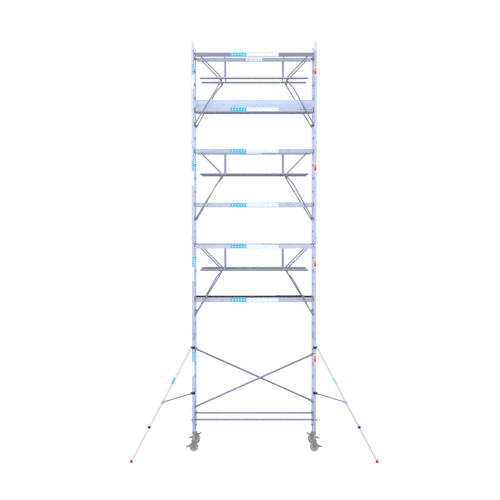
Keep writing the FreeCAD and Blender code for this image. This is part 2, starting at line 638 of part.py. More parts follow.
def make_nut():
    """The spindle nut with two bent handles, just below the stile's end."""
    low = "(frame_base - hook_gap - nut_high)"
    blank = rod("nut_r", "nut_high", z=low)
    bar = rod("nut_high / 4", "2 * handle_reach", "-handle_reach", 0, low + " + nut_high / 4", Y_AXIS, 90)
    bore = rod("spigot_r + running_gap", "2 * nut_high", z=low + " - nut_high / 2")
    return [cut("spindle_nut", join("nut_blank", blank, bar), bore)]


def make_fork():
    """Crown, bridge, two cheeks, the axle and the two pedal studs."""
    crown = cut("crown", rod("crown_r", "crown_high - hook_gap", z="crown_low"),
                rod(JOURNAL_R + " + running_gap", "2 * crown_high", z="crown_low - crown_high / 2"))
    wide = "(2 * (%s + fork_plate))" % PLATE_Y
    bridge_long = "(1.7 * crown_r)"
    bridge = box("-%s / 2" % bridge_long, "-%s / 2" % wide, "crown_low - fork_plate", bridge_long, wide,
                 "fork_plate")
    pieces = [crown, bridge]
    for y in (PLATE_Y, "-%s - fork_plate" % PLATE_Y):
        eye = rod("3 * axle_r", "fork_plate", WHEEL_X, y + " + fork_plate", "wheel_r", X_AXIS, 90)
        cheek = doc.addObject("Part::Wedge", "cheek")
        bind(cheek, Xmin="-%s / 2" % bridge_long, Xmax="%s / 2" % bridge_long, Ymin=0,
             Ymax="crown_low - fork_plate - wheel_r", Zmin=0, Zmax="fork_plate",
             X2min=WHEEL_X + " - 3 * axle_r", X2max=WHEEL_X + " + 3 * axle_r", Z2min=0, Z2max="fork_plate")
        put(cheek, 0, y, "crown_low - fork_plate", X_AXIS, -90)
        hole = lying("axle_r", "4 * wheel_width", WHEEL_X, 0, "wheel_r")
        pieces.append(cut("cheek_plate", join("cheek_blank", cheek, eye), hole))
    pieces.append(lying("axle_r", wide + " + 2 * fork_plate", WHEEL_X, 0, "wheel_r"))
    for sign in ("", "-"):
        pieces.append(lying("axle_r", "fork_plate + 2 * hook_gap", WHEEL_X,
                            "%s(%s + 1.5 * fork_plate + hook_gap)" % (sign, PLATE_Y), PIVOT_Z))
    return pieces


def make_wheel():
    """Tyre and hub, with the hub's bore running on the axle."""
    tyre = cut("tyre", lying("wheel_r", "wheel_width", WHEEL_X, 0, "wheel_r"),
               lying("hub_r", "2 * wheel_width", WHEEL_X, 0, "wheel_r"))
    hub = cut("hub", lying("hub_r", "wheel_width - 6", WHEEL_X, 0, "wheel_r"),
              lying("axle_r + running_gap", "2 * wheel_width", WHEEL_X, 0, "wheel_r"))
    return [tyre, hub]


def make_pedal():
    """Two side bars on the pedal studs, joined by a pad at each end."""
    pieces = []
    arm_y = "(%s + fork_plate + hook_gap)" % PLATE_Y
    run = "(pedal_out + pedal_in)"
    rise = "(pedal_in_height - pedal_out_height)"
    high = "(3.4 * axle_r)"
    for y in (arm_y, "-%s - fork_plate" % arm_y):
        bar = box(0, 0, "-%s / 2" % high, "hypot(%s; %s)" % (run, rise), "fork_plate", high)
        raised = copy_at(bar, WHEEL_X + " - pedal_out", y, "pedal_out_height", Y_AXIS,
                         "-atan2(%s; %s)" % (rise, run))
        hole = lying("axle_r + running_gap", "8 * fork_plate", WHEEL_X, y, PIVOT_Z)
        pieces.append(cut("pedal_bar", raised, hole))
    pad = "(2 * %s)" % arm_y
    pieces.append(box(WHEEL_X + " - pedal_out", "-" + arm_y, "pedal_out_height - fork_plate",
                      "5 * fork_plate", pad, "2 * fork_plate"))
    pieces.append(box(WHEEL_X + " + pedal_in - 4 * fork_plate", "-" + arm_y, "pedal_in_height - fork_plate",
                      "4 * fork_plate", pad, "2 * fork_plate"))
    return pieces


castor_pieces = {"spindle": make_spindle(), "spindle_nut": make_nut(), "castor_fork": make_fork(),
                 "castor_wheel": make_wheel(), "brake_pedal": make_pedal()}
CASTOR_PLACES = (("front_left", "-" + END_X, FRONT_Y, None), ("back_left", "-" + END_X, BACK_Y, None),
                 ("front_right", END_X, FRONT_Y, 180), ("back_right", END_X, BACK_Y, 180))
for place, x, y, turn in CASTOR_PLACES:
    for piece, solids in castor_pieces.items():
        node("%s_%s" % (piece, place), *solids, x=x, y=y, turn=turn)

# --- Stabiliser: origin on the floor under its stile, drawn in the upright plane along +X ---

UPPER_Z = "(%s + stab_top_rise)" % rung_height(CLAMP_RUNGS["upper"])
LOWER_Z = "(%s + rung_r + 10 * hook_gap + clamp_high / 2)" % rung_height(CLAMP_RUNGS["lower"])
FOOT_MID = "(foot_high / 2)"
STAB_RUN = "(stab_run - clamp_arm)"
STAB_DROP = "(%s - %s)" % (UPPER_Z, FOOT_MID)
LEG_R = "(stab_r - stab_wall - hook_gap)"


def on_tube(share):
    """A point on the stabiliser's line, as a share of its length from the upper clamp."""
    return "(clamp_arm + (%s) * %s)" % (share, STAB_RUN), "(%s - (%s) * %s)" % (UPPER_Z, share, STAB_DROP)


def make_clamps():
    """Two split rings round the stile, each with an arm that carries a tube."""
    pieces = []
    inner = "(stile_r + hook_gap)"
    for height in (UPPER_Z, LOWER_Z):
        low = "%s - clamp_high / 2" % height
        ring = rod(inner + " + clamp_wall", "clamp_high", z=low)
        arm = box(0, "-stab_r", low, "clamp_arm", "2 * stab_r", "clamp_high")
        bore = rod(inner, "2 * clamp_high", z=height + " - clamp_high")
        pieces.append(cut("clamp", join("clamp_blank", ring, arm), bore))
    return pieces


def arm_blank(height):
    """The solid outline of a clamp's arm, which trims the tube that butts against it."""
    return box("-clamp_arm", "-2 * stab_r", height + " - 2 * clamp_high", "2 * clamp_arm", "4 * stab_r",
               "4 * clamp_high")


def make_outer_tube():
    """The outer tube, from the upper clamp down."""
    x1, z1 = on_tube("-0.02")
    x2, z2 = on_tube("stab_share")
    blank = slanted("outer_blank", "stab_r", "stab_wall", x1, z1, x2, z2)
    return [cut("outer_tube", blank, arm_blank(UPPER_Z))]


def make_leg():
    """The inner tube, which slides in the outer one and ends in the foot."""
    share = "stab_share - leg_overlap / hypot(%s; %s)" % (STAB_RUN, STAB_DROP)
    x1, z1 = on_tube(share)
    x2, z2 = on_tube("1")
    return [slanted("inner_tube", LEG_R, "stab_wall", x1, z1, x2, z2)]


def make_foot():
    """The rubber foot, flat on the floor, with a socket for the leg."""
    cone = doc.addObject("Part::Cone", "foot_blank")
    bind(cone, Radius1="foot_r", Radius2="0.8 * foot_r", Height="foot_high")
    put(cone, "stab_run")
    x1, z1 = on_tube("0.9")
    x2, z2 = on_tube("1")
    run = "(%s - %s)" % (x2, x1)
    drop = "(%s - %s)" % (z2, z1)
    socket = rod(LEG_R + " + slip_fit", "hypot(%s; %s)" % (run, drop), x1, 0, z1, Y_AXIS,
                 "atan2(%s; %s)" % (run, drop))
    return [cut("foot", cone, socket)]


def make_stay():
    """The stay from the lower clamp, and the collar that joins it to the outer tube."""
    x1, z1 = on_tube("stay_share - collar_share")
    x2, z2 = on_tube("stay_share + collar_share")
    run = "(%s - %s)" % (x2, x1)
    drop = "(%s - %s)" % (z2, z1)
    tilt = "atan2(%s; %s)" % (run, drop)
    long = "hypot(%s; %s)" % (run, drop)
    collar = rod("stab_r + clamp_wall", long, x1, 0, z1, Y_AXIS, tilt)
    passage = rod("stab_r + slip_fit", "1.2 * " + long, x1, 0, z1, Y_AXIS, tilt)
    seat_x, seat_z = on_tube("stay_share")
    blank = slanted("stay_blank", "stay_r", "tube_wall", 0, LOWER_Z, seat_x, seat_z)
    solid_collar = rod("stab_r + clamp_wall", long, x1, 0, z1, Y_AXIS, tilt)
    return [cut("collar", collar, passage), cut("stay", blank, arm_blank(LOWER_Z), solid_collar)]


stabiliser = {"stabiliser_clamps": make_clamps(), "stabiliser_tube": make_outer_tube(),
              "stabiliser_stay": make_stay(), "stabiliser_leg": make_leg(), "stabiliser_foot": make_foot()}
for side, x, turn in (("left", "-" + END_X, "-90 - stab_turn"), ("right", END_X, "stab_turn - 90")):
    for piece, solids in stabiliser.items():
        node("%s_%s" % (piece, side), *solids, x=x, y=FRONT_Y, turn=turn)

# --- Check the whole document, then write one file for each sub-part ---

doc.recompute()
failed = [obj.Name for obj in doc.Objects if "Invalid" in obj.State or "Error" in obj.State]
if failed:
    raise RuntimeError("these objects did not recompute: %s" % failed)
os.makedirs("parts", exist_ok=True)
for obj in nodes:
    if obj.Shape.isNull() or not obj.Shape.isValid() or not obj.Shape.Solids:
        raise RuntimeError("%s has no valid shape" % obj.Label)
for obj in nodes:
    Part.makeCompound(obj.Shape.Solids).exportStep("parts/%s.step" % obj.Label)
print("%d sub-parts, %d solids" % (len(nodes), sum(len(obj.Shape.Solids) for obj in nodes)))
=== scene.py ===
"""Looks of a mobile aluminium scaffold tower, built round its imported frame."""

import math

import bmesh
import bpy
from mathutils import Matrix, Vector


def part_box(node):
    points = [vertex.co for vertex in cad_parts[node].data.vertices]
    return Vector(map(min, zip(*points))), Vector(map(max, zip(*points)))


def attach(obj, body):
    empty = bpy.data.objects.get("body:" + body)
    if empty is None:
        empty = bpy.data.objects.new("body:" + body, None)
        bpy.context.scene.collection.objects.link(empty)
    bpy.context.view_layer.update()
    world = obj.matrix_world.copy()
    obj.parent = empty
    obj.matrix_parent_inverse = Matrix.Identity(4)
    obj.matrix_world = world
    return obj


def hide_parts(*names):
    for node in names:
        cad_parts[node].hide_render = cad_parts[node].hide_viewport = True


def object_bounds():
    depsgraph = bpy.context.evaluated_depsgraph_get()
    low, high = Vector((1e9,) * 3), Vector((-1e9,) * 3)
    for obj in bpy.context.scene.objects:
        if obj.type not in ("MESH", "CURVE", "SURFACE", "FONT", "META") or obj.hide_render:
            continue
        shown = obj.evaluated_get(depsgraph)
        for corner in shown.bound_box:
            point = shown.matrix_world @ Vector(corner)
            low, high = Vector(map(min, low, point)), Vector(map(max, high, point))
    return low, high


bl_info = {
    "name": "Scaffold tower looks",
    "version": (1, 0, 0),
    "blender": (4, 5, 0),
    "location": "View3D > Sidebar > Tower",
    "description": "Dresses the frame of a mobile aluminium scaffold tower",
    "category": "Add Mesh",
}

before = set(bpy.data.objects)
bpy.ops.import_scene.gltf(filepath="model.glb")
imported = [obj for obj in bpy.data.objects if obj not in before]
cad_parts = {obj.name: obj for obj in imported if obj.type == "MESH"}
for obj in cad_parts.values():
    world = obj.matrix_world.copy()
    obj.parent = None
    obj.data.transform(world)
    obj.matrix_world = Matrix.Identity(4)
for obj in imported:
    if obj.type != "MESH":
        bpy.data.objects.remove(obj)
CAD_LOW, CAD_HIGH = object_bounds()

# --- Places that the frame gives ---

LEVELS = (1, 2, 3)
FRAME_LEVELS = (1, 2, 3, 4)
PLACES = ("front_left", "back_left", "front_right", "back_right")
RUNGS_PER_FRAME = 7
PLATFORM_RUNGS = (9, 16, 23)
RAIL_RUNGS_UP = 4
LEG_RUNGS_DOWN = 5
BRACE_LOW_RUNG = 1
BRACE_HIGH_RUNG = 5
X = Vector((1, 0, 0))
Y = Vector((0, 1, 0))
Z = Vector((0, 0, 1))


def middle(node):
    """The centre of a node's box."""
    low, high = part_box(node)
    return (low + high) / 2


frame_low, frame_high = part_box("frame_left_1")
STILE_R = (frame_high.x - frame_low.x) / 2
END_X = -middle("frame_left_1").x
FRONT_Y = frame_low.y + STILE_R
BACK_Y = frame_high.y - STILE_R
BAY_Y = (FRONT_Y + BACK_Y) / 2
BASE_Z = frame_low.z
FRAME_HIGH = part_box("frame_left_2")[0].z - BASE_Z
RUNG_PITCH = FRAME_HIGH / RUNGS_PER_FRAME
RAIL_FRONT_Y = middle("guardrail_front_1").y
RAIL_BACK_Y = middle("guardrail_back_1").y


def linear(code):
    """An sRGB hex value as linear red, green, blue."""
    found = []
    for start in (1, 3, 5):
        share = int(code[start:start + 2], 16) / 255
        found.append(share / 12.92 if share <= 0.04045 else ((share + 0.055) / 1.055) ** 2.4)
    return tuple(found)


def length(name, default, description):
    """A size that a user can change."""
    return bpy.props.FloatProperty(name=name, description=description, default=default, min=0,
                                   unit="LENGTH", precision=4)


def colour(name, default, description):
    """A colour that a user can change."""
    return bpy.props.FloatVectorProperty(name=name, description=description, default=linear(default),
                                         subtype="COLOR", size=3, min=0, max=1)


class TowerSizes(bpy.types.PropertyGroup):
    """Sizes of the pieces, in metres."""

    first_rung: length("First rung", 0.2, "Lowest rung above the lower end of its frame")
    stile_wall: length("Stile wall", 0.002, "Wall of the stile tube")
    rung_radius: length("Rung radius", 0.016, "Outside radius of a rung over its ribs")
    flute_depth: length("Flute depth", 0.0009, "How deep the rung's flutes are")
    weld_radius: length("Weld radius", 0.0035, "Radius of the weld bead round a joint")
    spigot_radius: length("Spigot radius", 0.02, "Radius of spigot and levelling spindle")
    spigot_nose: length("Spigot nose", 0.15, "How far a spigot stands above its frame")
    pin_height: length("Pin height", 0.08, "Locking pin above a stile joint")
    pin_radius: length("Pin radius", 0.0045, "Radius of a locking pin")
    hook_gap: length("Hook gap", 0.0003, "Gap between a hook and its rung")
    hook_wall: length("Hook wall", 0.01, "Thickness of a hook's jaw")
    hook_width: length("Hook width", 0.028, "Width of a hook across its jaw")
    jaw_past: length("Jaw past rung", 0.006, "How far a jaw reaches past its rung")
    beam_reach: length("Beam reach", 0.045, "From a rung's centre to the end of its beam")
    beam_high: length("Guardrail beam height", 0.08, "Height of the guardrail's top beam")
    beam_deep: length("Guardrail beam depth", 0.034, "Depth of the guardrail's top beam")
    beam_drop: length("Guardrail beam drop", 0.021, "Beam's centre below its rung's centre")
    mid_rail_drop: length("Mid rail drop", 0.477, "Mid rail below the top beam")
    mid_rail_radius: length("Mid rail radius", 0.0225, "Radius of the mid rail")
    mid_rail_half: length("Half mid rail", 1.105, "Half of the mid rail's length")
    strut_radius: length("Strut radius", 0.013, "Radius of the slanted tubes of a guardrail")
    upright_radius: length("Upright radius", 0.015, "Radius of the guardrail's uprights")
    brace_radius: length("Brace radius", 0.022, "Radius of the base braces")
    platform_width: length("Platform width", 0.61, "Over the platform's side beams")
    side_high: length("Side beam height", 0.097, "Height of a platform side beam")
    side_deep: length("Side beam depth", 0.03, "Depth of a platform side beam")
    side_rise: length("Side beam rise", 0.042, "Top of a side beam above its rung")
    deck_thick: length("Deck thickness", 0.012, "Thickness of the plywood")
    deck_sink: length("Deck sink", 0.004, "Deck's face below the side beams' top")
    hatch_start: length("Hatch start", 0.46, "Near edge of the hatch from the middle")
    hatch_length: length("Hatch length", 0.6, "Hatch along the bay")
    toe_high: length("Toe board height", 0.146, "Height of a toe board")
    toe_thick: length("Toe board thickness", 0.025, "Thickness of a toe board")
    thread_pitch: length("Thread pitch", 0.008, "Pitch of the levelling spindle's thread")
    label_thick: length("Label thickness", 0.0004, "How far a label stands off what carries it")


class TowerFinishes(bpy.types.PropertyGroup):
    """Colours of the finishes."""

    stile: colour("Stiles", "#DADFEA", "Extruded aluminium of the stiles")
    rung: colour("Rungs", "#ABB0BE", "Fluted aluminium of the rungs")
    # Painted light and shade by height: the three guardrail beams are copies of one aluminium, the highest
    # darker and the lowest lighter for how light falls on them at each height.
    top_beam: colour("Top beam", "#A6A8B4", "Highest guardrail's beam")
    middle_beam: colour("Middle beam", "#DADFEA", "Middle guardrail's beam")
    low_beam: colour("Lowest beam", "#EAEEF8", "Lowest guardrail's beam")
    # The back beams are the same aluminium, drawn in a darker tone as painted shade on their inner faces.
    back_beam: colour("Back beams", "#CBD0E0", "Guardrail beams at the back")
    tube: colour("Slanted tubes", "#A7AAB4", "Thin tubes of the guardrails")
    mid_rail: colour("Mid rails", "#B2B5C0", "Mid rails")
    brace: colour("Braces", "#AEB1BE", "Base braces")
    platform: colour("Platform", "#E3E8F3", "Aluminium of the platforms")
    # The cross members' aluminium is coloured dark as painted shade under the decks.
    cross_member_painted_shade: colour("Cross members", "#6C7080", "Aluminium under the decks")
    board: colour("Toe boards", "#D8E1F4", "Coated aluminium of the toe boards")
    stabiliser: colour("Stabilisers", "#EAEBEF", "Aluminium of the stabilisers")
    plywood: colour("Plywood film", "#2A110C", "Phenolic film on the decks")
    ply_edge: colour("Plywood edge", "#6B4326", "Cut edge of the decks")
    zinc: colour("Zinc", "#A7A9AC", "Zinc on pins, hooks and bolts")
    bright_zinc: colour("Bright zinc", "#CDD1DA", "Bright zinc on spindles and their nuts")
    fork: colour("Fork", "#A19A91", "Steel of the castor forks")
    wheel: colour("Wheel", "#C2BAB0", "Nylon of the castor wheels")
    tyre: colour("Tyre", "#ADA69D", "Tyre of the castor wheels")
    brake: colour("Brake pedal", "#98655C", "Outer brake pedal")
    release: colour("Release pedal", "#45454A", "Inner release pedal")
    black: colour("Black nylon", "#141416", "Clamps and end plugs")
    foot: colour("Foot", "#D0101F", "Rubber of the stabiliser feet")
    cyan: colour("Cyan vinyl", "#14C3F2", "Panels of the labels")
    pale: colour("Pale vinyl", "#86DCEF", "Marks of the labels")
    white: colour("White vinyl", "#F7FAFD", "Grounds of the labels")
    red: colour("Red vinyl", "#E2373C", "Warning colour of the labels")
    orange: colour("Orange vinyl", "#F29A1F", "Warning colour of the labels")
    grey: colour("Grey print", "#8C9098", "Small marks of the labels")
    floor: colour("Floor", "#FBFBFC", "Studio floor")


def sizes():
    """The sizes in use."""
    return bpy.context.scene.tower_sizes


def finishes():
    """The colours in use."""
    return bpy.context.scene.tower_finishes


def rung_z(number):
    """Height of a rung above the floor, counted from the tower's lowest."""
    return BASE_Z + sizes().first_rung + number * RUNG_PITCH


# --- Nodes ---


def add_node(tree, kind, inputs=None, **settings):
    """Add one node, set it up, and link or fill its inputs."""
    node = tree.nodes.new(kind)
    for name, value in settings.items():
        setattr(node, name, value)
    for socket, value in (inputs or {}).items():
        if isinstance(value, bpy.types.NodeSocket):
            tree.links.new(value, node.inputs[socket])
        else:
            node.inputs[socket].default_value = value
    return node


def start_material(name):
    """An empty material with its shader and output, ready for a pattern."""
    material = bpy.data.materials.new(name)
    material.use_nodes = True
    tree = material.node_tree
    tree.nodes.clear()
    shader = add_node(tree, "ShaderNodeBsdfPrincipled")
    add_node(tree, "ShaderNodeOutputMaterial", {"Surface": shader.outputs[0]})
    return material, tree, shader


def tinted(tree, base, factor, amount):
    """A colour that a pattern darkens and lightens by an amount."""
    dark = tuple(part * (1 - amount) for part in base)
    light = tuple(min(1, part * (1 + amount)) for part in base)
    ramp = add_node(tree, "ShaderNodeValToRGB", {"Fac": factor})
    ramp.color_ramp.elements[0].position = 0.3
    ramp.color_ramp.elements[0].color = (*dark, 1)
    ramp.color_ramp.elements[1].position = 0.7
    ramp.color_ramp.elements[1].color = (*light, 1)
    return ramp.outputs["Color"]


def pattern(tree, spacing, turn=(0, 0, 0), detail=3):
    """Noise whose grains measure this many metres along x, y and z."""
    place = add_node(tree, "ShaderNodeTexCoord")
    mapping = add_node(tree, "ShaderNodeMapping", {
        "Vector": place.outputs["Object"], "Rotation": turn,
        "Scale": tuple(1 / part for part in spacing)})
    noise = add_node(tree, "ShaderNodeTexNoise", {
        "Vector": mapping.outputs[0], "Scale": 1, "Detail": detail, "Roughness": 0.55})
    return noise.outputs[0]


def spread(tree, factor, low, high):
    """A pattern's values between two limits."""
    node = add_node(tree, "ShaderNodeMapRange", {
        "Value": factor, "From Min": 0.3, "From Max": 0.7, "To Min": low, "To Max": high})
    return node.outputs[0]


def bumped(tree, shader, height, depth, strength):
    """Raise a surface by a pattern, up to a depth in metres."""
    node = add_node(tree, "ShaderNodeBump", {
        "Height": height, "Distance": depth, "Strength": strength})
    tree.links.new(node.outputs[0], shader.inputs["Normal"])


def extruded_aluminium(name, base, spacing, roughness=0.34, turn=(0, 0, 0), metal=0.85):
    """Mill-finish extruded aluminium: fine die lines along its length and a slow oxide cloud.

    Real die lines are about 0.1 mm apart, drawn here some millimetres apart so that they show.
    """
    material, tree, shader = start_material(name)
    lines = pattern(tree, spacing, turn)
    cloud = pattern(tree, (0.12, 0.12, 0.12), detail=2)
    both = add_node(tree, "ShaderNodeMath", {0: lines, 1: cloud}, operation="ADD")
    half = add_node(tree, "ShaderNodeMath", {0: both.outputs[0], 1: 0.5}, operation="MULTIPLY")
    tree.links.new(tinted(tree, base, half.outputs[0], 0.07), shader.inputs["Base Color"])
    tree.links.new(spread(tree, lines, roughness - 0.06, roughness + 0.08), shader.inputs["Roughness"])
    shader.inputs["Metallic"].default_value = metal
    bumped(tree, shader, lines, 0.0002, 0.25)
    return material


def blasted_metal(name, base, roughness, grain, metal=1.0):
    """Cast, plated or blasted metal: a fine even grain with darker hollows."""
    material, tree, shader = start_material(name)
    grains = pattern(tree, (grain, grain, grain), detail=4)
    tree.links.new(tinted(tree, base, grains, 0.16), shader.inputs["Base Color"])
    tree.links.new(spread(tree, grains, roughness - 0.08, roughness + 0.1), shader.inputs["Roughness"])
    shader.inputs["Metallic"].default_value = metal
    bumped(tree, shader, grains, 0.0004, 0.3)
    return material


def moulded_plastic(name, base, roughness, grain=0.0015, sheen=0.0):
    """Moulded nylon or rubber: a spark-eroded grain, slightly mottled."""
    material, tree, shader = start_material(name)
    grains = pattern(tree, (grain, grain, grain), detail=2)
    mottle = pattern(tree, (0.02, 0.02, 0.02), detail=3)
    tree.links.new(tinted(tree, base, mottle, 0.09), shader.inputs["Base Color"])
    tree.links.new(spread(tree, mottle, roughness - 0.05, roughness + 0.07), shader.inputs["Roughness"])
    shader.inputs["IOR"].default_value = 1.53
    shader.inputs["Sheen Weight"].default_value = sheen
    bumped(tree, shader, grains, 0.0003, 0.35)
    return material


def film_plywood(name, face, edge):
    """Birch plywood under brown phenolic film: a pressed wire pattern on the face, plies on the edge.

    The pressed hexagons are 5 mm apart and the plies 1.4 mm thick, as on such decks.
    """
    material, tree, shader = start_material(name)
    place = add_node(tree, "ShaderNodeTexCoord")
    cells = add_node(tree, "ShaderNodeTexVoronoi", {
        "Vector": place.outputs["Object"], "Scale": 1 / 0.005, "Randomness": 0.0},
        feature="DISTANCE_TO_EDGE")
    wear = pattern(tree, (0.15, 0.05, 0.05), detail=4)
    film = tinted(tree, face, wear, 0.3)
    plies = add_node(tree, "ShaderNodeTexWave", {
        "Vector": place.outputs["Object"], "Scale": 1 / 0.0028 / 6.28, "Distortion": 0.6,
        "Detail Scale": 40}, bands_direction="Z")
    cut = tinted(tree, edge, plies.outputs["Fac"], 0.35)
    parts = add_node(tree, "ShaderNodeSeparateXYZ", {0: place.outputs["Normal"]})
    flat = add_node(tree, "ShaderNodeMath", {0: parts.outputs["Z"]}, operation="ABSOLUTE")
    chosen = add_node(tree, "ShaderNodeMix", {"Factor": flat.outputs[0], 6: cut, 7: film}, data_type="RGBA")
    tree.links.new(chosen.outputs[2], shader.inputs["Base Color"])
    tree.links.new(spread(tree, wear, 0.7, 0.85), shader.inputs["Roughness"])
    shader.inputs["Specular IOR Level"].default_value = 0.06
    bumped(tree, shader, cells.outputs[0], 0.0008, 0.5)
    return material


def printed_vinyl(name, base):
    """Printed vinyl film: flat colour, slight print grain, soft gloss."""
    material, tree, shader = start_material(name)
    grains = pattern(tree, (0.006, 0.006, 0.006), detail=2)
    tree.links.new(tinted(tree, base, grains, 0.03), shader.inputs["Base Color"])
    tree.links.new(spread(tree, grains, 0.32, 0.42), shader.inputs["Roughness"])
    shader.inputs["Specular IOR Level"].default_value = 0.3
    bumped(tree, shader, grains, 0.0001, 0.1)
    return material


LINES_X = (0.4, 0.004, 0.004)
LINES_Y = (0.004, 0.3, 0.004)
LINES_Z = (0.004, 0.004, 0.4)


def finish_material(name):
    """One of the tower's materials, made the first time that a piece asks for it."""
    if name in bpy.data.materials:
        return bpy.data.materials[name]
    look = finishes()
    makers = {
        "extruded_aluminium_stile": lambda n: extruded_aluminium(n, look.stile, LINES_Z, 0.36),
        "fluted_aluminium_rung": lambda n: extruded_aluminium(n, look.rung, LINES_Y, 0.4),
        # Painted light and shade: these beam materials are copies of one aluminium that differ only in tone,
        # for how light falls at each height and at the back.
        "extruded_aluminium_beam_3": lambda n: extruded_aluminium(n, look.top_beam, LINES_X, 0.34),
        "extruded_aluminium_beam_2": lambda n: extruded_aluminium(n, look.middle_beam, LINES_X, 0.36),
        "extruded_aluminium_beam_1": lambda n: extruded_aluminium(n, look.low_beam, LINES_X, 0.38),
        "extruded_aluminium_back_beam": lambda n: extruded_aluminium(n, look.back_beam, LINES_X, 0.38),
        "drawn_aluminium_tube": lambda n: extruded_aluminium(n, look.tube, (0.01, 0.01, 0.02), 0.3),
        "drawn_aluminium_mid_rail": lambda n: extruded_aluminium(n, look.mid_rail, LINES_X, 0.34),
        "drawn_aluminium_brace": lambda n: extruded_aluminium(n, look.brace, LINES_X, 0.34),
        "extruded_aluminium_platform": lambda n: extruded_aluminium(n, look.platform, LINES_X, 0.42),
        # Painted shade: the cross members are drawn dark for the shade under the decks.
        "extruded_aluminium_member": lambda n: extruded_aluminium(n, look.cross_member_painted_shade, LINES_Y, 0.45),
        "coated_aluminium_board": lambda n: extruded_aluminium(n, look.board, LINES_X, 0.5, metal=0.4),
        "drawn_aluminium_stabiliser": lambda n: extruded_aluminium(n, look.stabiliser, (0.01, 0.01, 0.03)),
        "welded_aluminium": lambda n: blasted_metal(n, look.stile, 0.42, 0.003),
        "zinc_plated_steel": lambda n: blasted_metal(n, look.zinc, 0.36, 0.002),
        "bright_zinc_steel": lambda n: blasted_metal(n, look.bright_zinc, 0.3, 0.002),
        "pressed_steel_fork": lambda n: blasted_metal(n, look.fork, 0.46, 0.003, 0.5),
        "phenolic_film_plywood": lambda n: film_plywood(n, look.plywood, look.ply_edge),
        "nylon_wheel": lambda n: moulded_plastic(n, look.wheel, 0.5),
        "polyurethane_tyre": lambda n: moulded_plastic(n, look.tyre, 0.6, 0.003),
        "nylon_brake_pedal": lambda n: moulded_plastic(n, look.brake, 0.45),
        "nylon_release_pedal": lambda n: moulded_plastic(n, look.release, 0.45),
        "black_nylon": lambda n: moulded_plastic(n, look.black, 0.42),
        "red_rubber": lambda n: moulded_plastic(n, look.foot, 0.62, 0.002, 0.1),
        "cyan_vinyl": lambda n: printed_vinyl(n, look.cyan),
        "pale_vinyl": lambda n: printed_vinyl(n, look.pale),
        "white_vinyl": lambda n: printed_vinyl(n, look.white),
        "red_vinyl": lambda n: printed_vinyl(n, look.red),
        "orange_vinyl": lambda n: printed_vinyl(n, look.orange),
        "grey_print": lambda n: printed_vinyl(n, look.grey),
    }
    return makers[name](name)


# --- Mesh making ---


